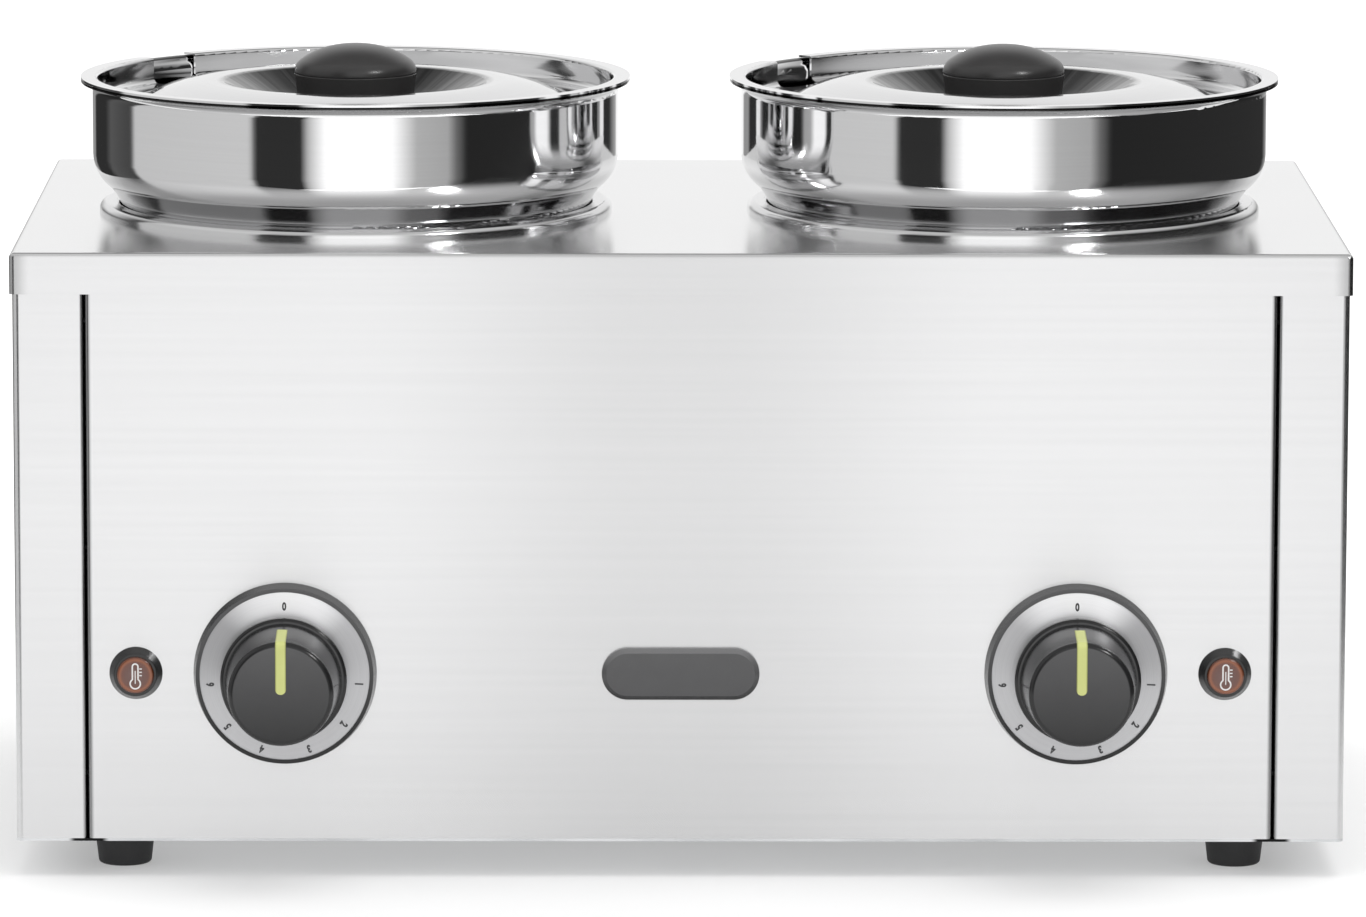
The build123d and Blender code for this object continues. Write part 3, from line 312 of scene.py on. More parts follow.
def studio_sky():
    sky = bpy.data.worlds.new("studio")
    sky.use_nodes = True
    tree = sky.node_tree
    tree.nodes.clear()
    mirrored, height = place_screens(tree, coordinate(tree, "Generated"))
    upward = calculate(tree, "MULTIPLY_ADD", height, 0.5, 0.5)
    soft = ramp(tree, upward, [(0.0, 0.75), (0.5, 0.82), (1.0, 1.0)])
    ray = add_node(tree, "ShaderNodeLightPath")
    lit = mix_colour(tree, ray.outputs["Is Diffuse Ray"], mirrored, soft)
    seen = mix_colour(tree, ray.outputs["Is Camera Ray"], lit, (1.0, 1.0, 1.0))
    background = add_node(tree, "ShaderNodeBackground", {"Color": seen, "Strength": 1.0})
    add_node(tree, "ShaderNodeOutputWorld", {"Surface": background.outputs[0]})
    return sky


def screen_drum(radius, low, high, steps=96):
    """Upright drum round the table: each point is (r cos a, r sin a, z). Only mirrors see it."""
    angle = np.linspace(0, 2 * np.pi, steps, endpoint=False)
    x, y = np.tile(radius * np.cos(angle), (2, 1)), np.tile(radius * np.sin(angle), (2, 1))
    z = np.repeat([[low], [high]], steps, axis=1)
    verts = np.stack([x, y, z], axis=-1).reshape(-1, 3)
    made = mesh_object("screen_drum", verts, grid_faces(2, steps, wrap=True))
    card = bpy.data.materials.new("screen_card")
    card.use_nodes = True
    tree = card.node_tree
    tree.nodes.clear()
    light, _ = place_screens(tree, coordinate(tree, "Object"))
    glow = add_node(tree, "ShaderNodeEmission", {"Color": light, "Strength": 1.0})
    add_node(tree, "ShaderNodeOutputMaterial", {"Surface": glow.outputs[0]})
    made.data.materials.append(card)
    for kind in ("camera", "diffuse", "transmission", "volume_scatter", "shadow"):
        setattr(made, "visible_" + kind, False)
    return made


def softbox(name, spot, aim, size, watts):
    """A square area light at spot that faces aim."""
    data = bpy.data.lights.new(name, "AREA")
    data.shape, data.size, data.energy = "SQUARE", size, watts
    light = bpy.data.objects.new(name, data)
    bpy.context.collection.objects.link(light)
    away = np.array(spot) - np.array(aim)
    away = away / np.linalg.norm(away)
    side = np.cross((0.0, 1.0, 0.0), away)
    side = side / np.linalg.norm(side)
    turned = np.eye(4)
    turned[:3, :3] = np.stack([side, np.cross(away, side), away], axis=1)
    turned[:3, 3] = spot
    light.matrix_world = Matrix(turned.tolist())
    return light


scene = bpy.context.scene
scene.world = studio_sky()
scene.view_settings.view_transform = "Standard"
studio_drum = screen_drum(1.8, -1.2, 2.4)
overhead = softbox("overhead", (0.3, -0.5, 2.2), (0.0, 0.0, 0.1), 1.6, 22.0)
overhead.visible_glossy = False
key = softbox("key", (1.1, -1.3, 1.3), (0.0, -0.1, 0.1), 0.30, 9.0)
key.visible_diffuse = False
print("lights", [l.name for l in (overhead, key)], "world", scene.world.name, "screens", studio_drum.name)

# %% [markdown]
# ## Shared effects
# Several finishes share an effect: brushed sheet, turned marks, moulded grain, faint smudges. Each is
# built once as a node group with named inputs and outputs, then placed in any material with its own
# values. A group only puts out numbers and masks; the shader itself stays in the material.

# %% Group: brushed sheet
def noise(tree, vector, scale, detail=2.0, roughness=0.5):
    values = {"Vector": vector, "Scale": scale, "Detail": detail, "Roughness": roughness}
    return add_node(tree, "ShaderNodeTexNoise", values).outputs[0]


def stretched(tree, vector, scale):
    return add_node(tree, "ShaderNodeMapping", {"Vector": vector, "Scale": scale}).outputs[0]


def brushed_group():
    """Fine lines along a sheet: noise that is squeezed across the brushing and drawn out along it.
    On faces that look sideways the lines run along Y, and elsewhere along X."""
    tree, inside, outside = start_group("brushed_sheet", [], ["Lines", "Streaks", "Sideways"])
    facing = axes_of(tree, coordinate(tree, "Normal"))
    sideways = calculate(tree, "GREATER_THAN", calculate(tree, "ABSOLUTE", facing.outputs["X"]), 0.7)
    place = coordinate(tree, "Object")
    results = []
    for fine, long_way in ((1500.0, 14.0), (420.0, 5.0)):
        along_x = noise(tree, stretched(tree, place, (long_way, fine, fine)), 1.0)
        along_y = noise(tree, stretched(tree, place, (fine, long_way, fine)), 1.0)
        keep = calculate(tree, "MULTIPLY", along_x, calculate(tree, "SUBTRACT", 1.0, sideways))
        results.append(calculate(tree, "MULTIPLY_ADD", along_y, sideways, keep))
    tree.links.new(results[0], outside.inputs["Lines"])
    tree.links.new(results[1], outside.inputs["Streaks"])
    tree.links.new(sideways, outside.inputs["Sideways"])
    return tree


brushed_sheet = brushed_group()
print(brushed_sheet.name, [s.name for s in brushed_sheet.interface.items_tree])

# %% [markdown]
# Pots, lids, wells and knobs are spun or turned, so their marks run round an axis. Distance from the
# axis and height along it are the two numbers that stay the same along such a mark, and noise of those
# two gives rings. The pots and dials come in pairs either side of the middle, so the distance is taken
# from |x|, and one material serves both.

# %% Group: turned marks
def turned_group():
    """Rings round an axis. Radius is the distance from (|x| - Centre X, the other centre), measured
    level for an upright axis and in the front plane for a level one."""
    tree, inside, outside = start_group(
        "turned_marks",
        [("Centre X", 0.0), ("Centre Y", 0.0), ("Centre Z", 0.0), ("Level Axis", 0.0), ("Pitch", 1500.0)],
        ["Radius", "Angle", "Rings"],
    )
    split = axes_of(tree, coordinate(tree, "Object"))
    aside = calculate(tree, "ABSOLUTE", split.outputs["X"])
    across = calculate(tree, "SUBTRACT", aside, inside.outputs["Centre X"])
    depth = calculate(tree, "SUBTRACT", split.outputs["Y"], inside.outputs["Centre Y"])
    height = calculate(tree, "SUBTRACT", split.outputs["Z"], inside.outputs["Centre Z"])
    level = inside.outputs["Level Axis"]
    upright = calculate(tree, "SUBTRACT", 1.0, level)
    second = calculate(tree, "MULTIPLY_ADD", height, level, calculate(tree, "MULTIPLY", depth, upright))
    along = calculate(tree, "MULTIPLY_ADD", depth, level, calculate(tree, "MULTIPLY", height, upright))
    squares = calculate(tree, "MULTIPLY_ADD", across, across, calculate(tree, "MULTIPLY", second, second))
    radius = calculate(tree, "SQRT", squares)
    angle = calculate(tree, "ARCTAN2", second, across)
    key = add_node(tree, "ShaderNodeCombineXYZ", {
        "X": calculate(tree, "MULTIPLY", radius, inside.outputs["Pitch"]),
        "Y": calculate(tree, "MULTIPLY", along, inside.outputs["Pitch"]),
        "Z": calculate(tree, "MULTIPLY", calculate(tree, "COSINE", angle), 0.8),
    })
    tree.links.new(radius, outside.inputs["Radius"])
    tree.links.new(angle, outside.inputs["Angle"])
    tree.links.new(noise(tree, key.outputs[0], 1.0), outside.inputs["Rings"])
    return tree


turned_marks = turned_group()
print(turned_marks.name, len(turned_marks.nodes), "nodes")

# %% [markdown]
# Moulded plastic and rubber have a fine even grain from the mould, and everything that is handled
# gathers faint smudges. Both are plain noise on the object's own coordinates: high and even for the
# grain, low and cloudy for the smudges.

# %% Groups: moulded grain and smudges
def grain_group():
    tree, inside, outside = start_group("moulded_grain", [("Scale", 2500.0)], ["Grain", "Cloud"])
    place = coordinate(tree, "Object")
    cloud = calculate(tree, "DIVIDE", inside.outputs["Scale"], 24.0)
    tree.links.new(noise(tree, place, inside.outputs["Scale"], 1.5), outside.inputs["Grain"])
    tree.links.new(noise(tree, place, cloud), outside.inputs["Cloud"])
    return tree


def smudge_group():
    tree, inside, outside = start_group("smudges", [("Scale", 14.0)], ["Smudge"])
    values = {"Vector": coordinate(tree, "Object"), "Scale": inside.outputs["Scale"], "Detail": 4.0}
    cloud = add_node(tree, "ShaderNodeTexNoise", {**values, "Distortion": 0.6})
    tree.links.new(spread(tree, cloud.outputs[0], 0.42, 0.72), outside.inputs["Smudge"])
    return tree


moulded_grain = grain_group()
smudges = smudge_group()
print(moulded_grain.name, smudges.name)

# %% [markdown]
# ## Materials
# Each material starts the same way: a Principled shader whose plain values sit on its own sockets.
# What varies over the surface is then joined in: a tint of the colour, a shift of the roughness, and a
# height that tilts the normal a little.

# %% Start a material
def begin(name, colour, metallic, roughness, **sockets):
    """A material with a Principled shader; sockets sets more of its inputs by name."""
    made = bpy.data.materials.new(name)
    made.use_nodes = True
    tree = made.node_tree
    shader = tree.nodes["Principled BSDF"]
    shader.inputs["Base Color"].default_value = (*colour, 1.0)
    shader.inputs["Metallic"].default_value = metallic
    shader.inputs["Roughness"].default_value = roughness
    for key, value in sockets.items():
        shader.inputs[key.replace("_", " ")].default_value = value
    made.diffuse_color = (*colour, 1.0)
    return made, tree, shader


def place_group(tree, group, **values):
    made = tree.nodes.new("ShaderNodeGroup")
    made.node_tree = group
    for key, value in values.items():
        made.inputs[key.replace("_", " ")].default_value = value
    return made


def vary(tree, value, low, high):
    """Stretches a value of 0 to 1 to run from low to high."""
    return spread(tree, value, 0.0, 1.0, low, high)


def tint(tree, shader, value, dark, light):
    """Colour runs from dark to light with value."""
    tree.links.new(mix_colour(tree, value, dark, light), shader.inputs["Base Color"])


def relief(tree, shader, height, depth):
    """A height of 0 to 1 becomes a bump of that depth in metres."""
    bump = add_node(tree, "ShaderNodeBump", {"Height": height, "Distance": depth, "Strength": 1.0})
    tree.links.new(bump.outputs[0], shader.inputs["Normal"])


finishes = {}
print("material helpers ready")

# %% [markdown]
# ### Brushed panels
# The cabinet is stainless sheet with a fine horizontal brushing. The brushing spreads a reflection
# across the lines far more than along them. Real scratches could be modelled, but an anisotropic
# shader does it without noise: its tangent is turned across the lines, up the walls and backwards over
# the top. Fine lines and faint broad streaks break up the tone. The top is wiped every day, so it is
# smoother than the walls and mirrors the pots; its colour is painted brighter than theirs, as painted
# light from above. The walls are dimmed a little with painted shade where less of the room reaches
# them.

# %% Brushed steel
def beside_seams(tree, near, far, share):
    """Share of light near the two seams: share within the distance near of one, full beyond far."""
    place = axes_of(tree, coordinate(tree, "Object"))
    from_seam = calculate(tree, "SUBTRACT", calculate(tree, "ABSOLUTE", place.outputs["X"]), seam_x)
    return eased(tree, calculate(tree, "ABSOLUTE", from_seam), near, far, share, 1.0)


def soft_gloom(tree):
    """Share of light on the walls: a little less in the middle, where the camera stands before its own
    screen, towards the foot, round the ends of the lip and in the folds beside the two seams."""
    place = axes_of(tree, coordinate(tree, "Object"))
    aside, height = calculate(tree, "ABSOLUTE", place.outputs["X"]), place.outputs["Z"]
    on_lip = calculate(tree, "GREATER_THAN", height, lip_foot)
    ends = eased(tree, aside, top_side - 8 * MM, top_side - 1 * MM, 1.0, 0.62)
    folds = beside_seams(tree, 0.9 * MM, 2.4 * MM, 0.40)
    edges = mix_colour(tree, on_lip, folds, ends)
    middle_share = eased(tree, aside, 0.01, 0.13, 0.86, 1.0)
    foot_share = eased(tree, height, 0.01, 0.17, 0.89, 1.0)
    return calculate(tree, "MULTIPLY", calculate(tree, "MULTIPLY", middle_share, foot_share), edges)


def brushed_steel():
    made, tree, shader = begin("brushed_steel", (0.72, 0.72, 0.725), 1.0, 0.25, Anisotropic=0.75)
    marks = place_group(tree, brushed_sheet)
    haze = place_group(tree, smudges, Scale=9.0)
    normal = axes_of(tree, coordinate(tree, "Normal"))
    upward = spread(tree, normal.outputs["Z"], 0.3, 0.9)
    walls = mix_colour(tree, marks.outputs["Streaks"], (0.70, 0.70, 0.705), (0.74, 0.74, 0.745))
    dimmed = mix_colour(tree, soft_gloom(tree), (0.0, 0.0, 0.0), walls)
    # painted light: faces that look up get a brighter colour than the walls, as light from above
    top = mix_colour(tree, marks.outputs["Streaks"], (0.95, 0.95, 0.955), (1.0, 1.0, 1.0))
    tree.links.new(mix_colour(tree, upward, dimmed, top), shader.inputs["Base Color"])
    lined = vary(tree, marks.outputs["Lines"], 0.23, 0.26)
    rough = calculate(tree, "ADD", lined, vary(tree, haze.outputs[0], 0.0, 0.015))
    smoother = calculate(tree, "MULTIPLY", rough, vary(tree, upward, 1.0, 0.55))
    tree.links.new(smoother, shader.inputs["Roughness"])
    relief(tree, shader, marks.outputs["Lines"], 1.3 * MICRON)
    across = add_node(tree, "ShaderNodeCombineXYZ", {"X": 0.0, "Z": 1.0})
    tree.links.new(calculate(tree, "SUBTRACT", 1.0, marks.outputs["Sideways"]), across.inputs["Y"])
    tree.links.new(across.outputs[0], shader.inputs["Tangent"])
    return made


finishes["brushed_steel"] = brushed_steel()
print(finishes["brushed_steel"].name)

# %% [markdown]
# ### Polished pots, lids and collars
# The pots and lids are polished almost to a mirror, with faint turned marks left by the polishing mop.
# The collars of the wells are drawn and polished a little less. A very low roughness gives the hard
# edges of the studio's screens, and a small height on the rings softens them upwards and downwards.
# The cut edge of a pot's rim lies in the narrow gap below the lid and sees almost no light, so the
# finish goes dark there. The pots' shoulders look down at the gap over the collar, and the dish of a
# lid shows mostly its own far wall and the black knob, so both are dimmed. Fine rays round the knob,
# from noise of the angle, stand in for what the dish mirrors.

# %% Polished steel
def radial_streaks(tree, angle):
    """Rays that start from an axis: noise of the angle round it, spread about zero."""
    ray = add_node(tree, "ShaderNodeCombineXYZ", {
        "X": calculate(tree, "COSINE", angle), "Y": calculate(tree, "SINE", angle),
    })
    return vary(tree, noise(tree, ray.outputs[0], 9.0, 3.0, 0.7), -0.26, 0.34)


def polished_steel(name, colour, smooth, dull, ring_depth, shaded_above=None, under=1.0, dish=None):
    """Polished sheet. Above the height shaded_above it is darkened, as an edge in a narrow gap is.
    Faces that look down get the share under of the light, and dish is a list of (radius, share)."""
    made, tree, shader = begin(name, colour, 1.0, smooth)
    marks = place_group(tree, turned_marks, Centre_X=pot_x, Centre_Y=pot_y, Pitch=1100.0)
    haze = place_group(tree, smudges, Scale=26.0)
    darker = tuple(c * 0.95 for c in colour)
    tone = mix_colour(tree, marks.outputs["Rings"], darker, colour)
    if shaded_above is not None:
        level = axes_of(tree, coordinate(tree, "Object"))
        shade = spread(tree, level.outputs["Z"], shaded_above - 0.15 * MM, shaded_above + 0.15 * MM)
        tone = mix_colour(tree, shade, tone, (0.03, 0.03, 0.03))
    facing = axes_of(tree, coordinate(tree, "Normal"))
    share = eased(tree, facing.outputs["Z"], -0.55, -0.20, under, 1.0)
    if dish is not None:
        reach = dish[-1][0]
        outward = calculate(tree, "DIVIDE", marks.outputs["Radius"], reach)
        around = ramp(tree, outward, [(radius / reach, light) for radius, light in dish])
        streaks = radial_streaks(tree, marks.outputs["Angle"])
        deepened = calculate(tree, "MULTIPLY_ADD", calculate(tree, "SUBTRACT", 1.0, around), streaks, around)
        share = calculate(tree, "MULTIPLY", share, deepened)
    tone = mix_colour(tree, share, (0.0, 0.0, 0.0), tone)
    tree.links.new(tone, shader.inputs["Base Color"])
    tree.links.new(vary(tree, haze.outputs[0], smooth, dull), shader.inputs["Roughness"])
    relief(tree, shader, marks.outputs["Rings"], ring_depth)
    return made


pot_sheet = 0.8 * MM
rim_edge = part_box("right_pot")[1][2] - pot_sheet
polished, drawn = (0.88, 0.88, 0.885), (0.78, 0.78, 0.785)
dish_light = [
    (0.0, 0.38), (0.030, 0.34), (0.040, 0.16), (0.050, 0.14), (0.0535, 0.90), (0.060, 0.95), (0.080, 1.0),
]
finishes["pot_steel"] = polished_steel("pot_steel", polished, 0.045, 0.075, 2.2 * MICRON, rim_edge, 0.62)
finishes["lid_steel"] = polished_steel("lid_steel", polished, 0.06, 0.10, 2.5 * MICRON, dish=dish_light)
finishes["collar_steel"] = polished_steel("collar_steel", drawn, 0.10, 0.16, 3.0 * MICRON)
print([finishes[k].name for k in ("pot_steel", "lid_steel", "collar_steel")])

# %% [markdown]
# ### Plain metals
# Under the cabinet and inside it are plain metals: mill sheet, zinc-plated screws, a brass stud, copper
# capillary tube and the element's heat-tinted sheath. They differ only in colour, roughness and how
# cloudy they are, so one function makes them all.

# %% Plain metals
def plain_metal(name, dark, light, smooth, rough, cloud):
    """Bare metal. The rivets in the folds behind the two seams get hardly any light."""
    made, tree, shader = begin(name, light, 1.0, smooth)
    haze = place_group(tree, smudges, Scale=cloud)
    grain = place_group(tree, moulded_grain, Scale=1800.0)
    tone = mix_colour(tree, haze.outputs[0], light, dark)
    lit = mix_colour(tree, beside_seams(tree, 5 * MM, 8 * MM, 0.02), (0.0, 0.0, 0.0), tone)
    tree.links.new(lit, shader.inputs["Base Color"])
    tree.links.new(vary(tree, haze.outputs[0], smooth, rough), shader.inputs["Roughness"])
    relief(tree, shader, grain.outputs["Grain"], 6 * MICRON)
    return made


metals = {
    "plain_steel": ((0.56, 0.57, 0.58), (0.68, 0.69, 0.70), 0.32, 0.46, 20.0),
    "zinc_fixings": ((0.55, 0.56, 0.60), (0.72, 0.73, 0.75), 0.24, 0.40, 240.0),
    "brass_stud": ((0.62, 0.46, 0.20), (0.82, 0.66, 0.34), 0.25, 0.40, 240.0),
    "copper_capillary": ((0.55, 0.27, 0.15), (0.80, 0.47, 0.32), 0.28, 0.42, 160.0),
    "element_sheath": ((0.20, 0.17, 0.19), (0.42, 0.38, 0.34), 0.35, 0.55, 50.0),
}
for metal, look in metals.items():
    finishes[metal] = plain_metal(metal, *look)
print("plain metals", len(finishes))

# %% [markdown]
# ### Plastics and rubber
# Knobs, bezels, lamp housings and feet are black, but not the same black: phenolic is smooth and
# slightly warm, the dial parts are satin, the lamp housing is glossy and the rubber is matt. All get a
# mould grain; what changes is its depth, the colour and the gloss. The brown thermostats, the cream
# terminal block and the pale seals are moulded too, so one function makes them all.

# %% Moulded parts
def moulded(name, dark, light, smooth, rough, scale=2500.0, depth=10 * MICRON, **sockets):
    made, tree, shader = begin(name, light, 0.0, smooth, **sockets)
    grain = place_group(tree, moulded_grain, Scale=scale)
    tint(tree, shader, grain.outputs["Cloud"], dark, light)
    tree.links.new(vary(tree, grain.outputs["Grain"], smooth, rough), shader.inputs["Roughness"])
    relief(tree, shader, grain.outputs["Grain"], depth)
    return made


plastics = {
    "pilot_black": ((0.016, 0.016, 0.016), (0.024, 0.024, 0.024), 0.16, 0.24),
    "foot_rubber": ((0.016, 0.016, 0.017), (0.028, 0.028, 0.029), 0.55, 0.75, 1600.0, 30 * MICRON),
    "gland_black": ((0.020, 0.020, 0.020), (0.032, 0.032, 0.032), 0.38, 0.52, 2000.0, 20 * MICRON),
    "thermostat_brown": ((0.06, 0.035, 0.022), (0.10, 0.06, 0.04), 0.34, 0.50),
    "terminal_cream": ((0.66, 0.62, 0.50), (0.76, 0.72, 0.61), 0.35, 0.50),
    "seal_silicone": ((0.66, 0.67, 0.67), (0.76, 0.77, 0.77), 0.40, 0.55, 1500.0),
}
for plastic, look in plastics.items():
    finishes[plastic] = moulded(plastic, *look)
print("moulded finishes", len(finishes))

# %% [markdown]
# ### Pointers
# Each pointer is a strip of pale green-yellow plastic let into the knob. The strip is darker over the
# last half millimetre to each side, where it meets the black. That is a matter of the distance from the
# middle of the dial, |x| less the dial's own place.

# %% Pointer strips
def pointer_strip():
    made = moulded("pointer_yellow", (0.50, 0.53, 0.17), (0.58, 0.61, 0.23), 0.30, 0.42)
    tree, shader = made.node_tree, made.node_tree.nodes["Principled BSDF"]
    body = shader.inputs["Base Color"].links[0].from_socket
    place = axes_of(tree, coordinate(tree, "Object"))
    across = calculate(tree, "SUBTRACT", calculate(tree, "ABSOLUTE", place.outputs["X"]), dial_x)
    edge = spread(tree, calculate(tree, "ABSOLUTE", across), 1.45 * MM, 1.95 * MM)
    tree.links.new(mix_colour(tree, edge, body, (0.22, 0.23, 0.06)), shader.inputs["Base Color"])
    return made


finishes["pointer_yellow"] = pointer_strip()
print(finishes["pointer_yellow"].name)

# %% [markdown]
# ### Dial parts and name plate
# The dial parts and the name plate are satin black. Their flat faces are painted lighter than their
# rims, and lighter at the top than at the bottom, as painted light from above; the plate's rims are
# painted lighter towards the top too. The way the surface faces tells a flat face from a bevel, and the
# height in the panel gives the gradient.

# %% Satin black faces
def facing_front(tree):
    """1 on faces that look straight to the front, 0 where the surface has turned by 15 degrees."""
    normal = axes_of(tree, coordinate(tree, "Normal"))
    forward = calculate(tree, "MULTIPLY", normal.outputs["Y"], -1.0)
    return spread(tree, forward, 0.965, 0.995)


def satin_face(name, rim, low, high, reach, smooth, rough, **sockets):
    """Black with painted light: its flat face runs from low to high, and its rim through the two greys of
    rim, lighter upwards, over the height reach to each side of the controls' axis."""
    made, tree, shader = begin(name, high, 0.0, smooth, **sockets)
    grain = place_group(tree, moulded_grain, Scale=2500.0)
    upright = axes_of(tree, coordinate(tree, "Object"))
    # painted light: the colour grows lighter with height over the controls, as light from above falls
    rise = spread(tree, upright.outputs["Z"], control_z - reach, control_z + reach)
    face = mix_colour(tree, rise, low, high)
    edge = mix_colour(tree, rise, *rim)
    cloudy = mix_colour(tree, vary(tree, grain.outputs["Cloud"], 0.0, 0.2), face, rim[0])
    tree.links.new(mix_colour(tree, facing_front(tree), edge, cloudy), shader.inputs["Base Color"])
    tree.links.new(vary(tree, grain.outputs["Grain"], smooth, rough), shader.inputs["Roughness"])
    relief(tree, shader, grain.outputs["Grain"], 10 * MICRON)
    return made


# painted light and shade: the shaded and lit ends of the dial's and the plate's faces and rims
deep, dark, dial_face_lit = (0.008, 0.008, 0.0085), (0.014, 0.014, 0.0145), (0.085, 0.085, 0.087)
plate_face_shaded, plate_face_lit = (0.062, 0.062, 0.064), (0.080, 0.080, 0.082)
plate_rim_shaded_lit = (deep, (0.15, 0.15, 0.153))
finishes["dial_black"] = satin_face(
    "dial_black", (dark, dark), deep, dial_face_lit, 0.020, 0.13, 0.19, Specular_IOR_Level=0.38
)
finishes["name_plate_black"] = satin_face(
    "name_plate_black", plate_rim_shaded_lit, plate_face_shaded, plate_face_lit, 0.010, 0.20, 0.30
)
print("satin black", finishes["dial_black"].name, finishes["name_plate_black"].name)

# %% [markdown]
# ### Lid knobs
# The phenolic knobs are pressed in a two-part mould, and a crease runs round them where the halves
# meet. It is under half a millimetre wide, so it needs no geometry: a narrow dip of the height at the
# level of the crease tilts the light enough. Below it the drum is a touch duller than the crown.

# %% Phenolic with a parting crease
knob_parting = 12.8 * MM
crease_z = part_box("right_lid_knob")[0][2] + knob_parting


def phenolic():
    made, tree, shader = begin("knob_phenolic", (0.030, 0.029, 0.029), 0.0, 0.30)
    grain = place_group(tree, moulded_grain, Scale=1700.0)
    level = axes_of(tree, coordinate(tree, "Object"))
    above = calculate(tree, "SUBTRACT", level.outputs["Z"], crease_z)
    crease = spread(tree, calculate(tree, "ABSOLUTE", above), 0.0, 0.35 * MM)
    duller = spread(tree, above, 0.1 * MM, -0.1 * MM, 0.0, 0.08)
    tint(tree, shader, grain.outputs["Cloud"], (0.024, 0.023, 0.023), (0.034, 0.033, 0.033))
    gloss = calculate(tree, "ADD", vary(tree, grain.outputs["Grain"], 0.26, 0.34), duller)
    tree.links.new(gloss, shader.inputs["Roughness"])
    relief(tree, shader, calculate(tree, "MULTIPLY_ADD", grain.outputs["Grain"], 0.02, crease), 0.3 * MM)
    return made


finishes["knob_phenolic"] = phenolic()
print("crease at", round(crease_z, 4))

# %% [markdown]
# ### Scale rings
# The silver rings behind the knobs are spun aluminium. Their marks run round the knob's axis, and that
# makes the bright fans that sweep as one walks past. The shader's tangent is turned along the radius,
# from the dial's own axis, and fine rings tint the metal. The fan at the top, where the ring catches
# the lamps overhead, is brightened with the sine of the angle round the axis.

# %% Spun aluminium
def spun_aluminium():
    made, tree, shader = begin("scale_silver", (0.52, 0.52, 0.53), 1.0, 0.34, Anisotropic=0.7)
    marks = place_group(tree, turned_marks, Centre_X=dial_x, Centre_Z=control_z, Level_Axis=1.0, Pitch=3500.0)
    plain = mix_colour(tree, marks.outputs["Rings"], (0.44, 0.44, 0.45), (0.54, 0.54, 0.55))
    bright = mix_colour(tree, marks.outputs["Rings"], (0.84, 0.84, 0.85), (0.94, 0.94, 0.95))
    upper = eased(tree, calculate(tree, "SINE", marks.outputs["Angle"]), 0.62, 0.97, 0.0, 1.0)
    tree.links.new(mix_colour(tree, upper, plain, bright), shader.inputs["Base Color"])
    tree.links.new(vary(tree, marks.outputs["Rings"], 0.30, 0.40), shader.inputs["Roughness"])
    relief(tree, shader, marks.outputs["Rings"], 3 * MICRON)
    split = axes_of(tree, coordinate(tree, "Object"))
    centre = calculate(tree, "MULTIPLY", calculate(tree, "SIGN", split.outputs["X"]), dial_x)
    outward = add_node(tree, "ShaderNodeCombineXYZ", {
        "X": calculate(tree, "SUBTRACT", split.outputs["X"], centre),
        "Z": calculate(tree, "SUBTRACT", split.outputs["Z"], control_z),
    })
    unit = add_node(tree, "ShaderNodeVectorMath", {0: outward.outputs[0]}, operation="NORMALIZE")
    tree.links.new(unit.outputs[0], shader.inputs["Tangent"])
    return made


finishes["scale_silver"] = spun_aluminium()
print(finishes["scale_silver"].name)

# %% [markdown]
# ### Pilot lenses
# An unlit pilot lamp looks brown-orange: amber plastic over a dark cavity, brightest round its rim
# where light runs inside the wall, with fine rays moulded into the back. The colour runs with the
# distance from the lamp's axis, and the rays with the angle round it. A clear coat gives the gloss.

# %% Amber lens
def amber_lens():
    clear_coat = {"Coat_Weight": 0.6, "Coat_Roughness": 0.06}
    made, tree, shader = begin("pilot_amber", (0.42, 0.12, 0.03), 0.0, 0.22, **clear_coat)
    lamp_axis = {"Centre_X": pilot_x, "Centre_Z": control_z, "Level_Axis": 1.0}
    marks = place_group(tree, turned_marks, Pitch=2600.0, **lamp_axis)
    share = calculate(tree, "DIVIDE", marks.outputs["Radius"], half_width("right_pilot_lens"))
    stops = [
        (0.0, (0.13, 0.062, 0.052)), (0.45, (0.085, 0.030, 0.023)), (0.70, (0.10, 0.024, 0.010)),
        (0.84, (0.24, 0.058, 0.008)), (0.93, (0.10, 0.022, 0.005)), (1.0, (0.02, 0.006, 0.003)),
    ]
    glow = ramp(tree, share, stops)
    rays = calculate(tree, "SINE", calculate(tree, "MULTIPLY", marks.outputs["Angle"], 36.0))
    rings = calculate(tree, "SINE", calculate(tree, "MULTIPLY", marks.outputs["Radius"], 7000.0))
    facets = calculate(tree, "MULTIPLY", rays, rings)
    lightened = mix_colour(tree, vary(tree, facets, 0.0, 0.40), glow, (0.38, 0.17, 0.11))
    tree.links.new(lightened, shader.inputs["Base Color"])
    relief(tree, shader, facets, 20 * MICRON)
    return made


finishes["pilot_amber"] = amber_lens()
print(finishes["pilot_amber"].name)

# %% [markdown]
# ### Printed marks and the floor
# The numbers on the rings are a dark screen print, and the signs on the lamps a white one. Ink is
# never quite even, so both have a little grain. The floor is matt white with a painted glow: its own
# emission lifts the shadow below the cabinet and grows brighter away from the object.

# %% Inks and floor
inks = {
    "dark_ink": ((0.030, 0.030, 0.032), (0.055, 0.055, 0.058), 0.45, 0.60, 3000.0, 2 * MICRON),
    "white_ink": ((0.66, 0.64, 0.62), (0.82, 0.81, 0.80), 0.40, 0.55, 3000.0, 2 * MICRON),
}
for ink, look in inks.items():
    finishes[ink] = moulded(ink, *look)


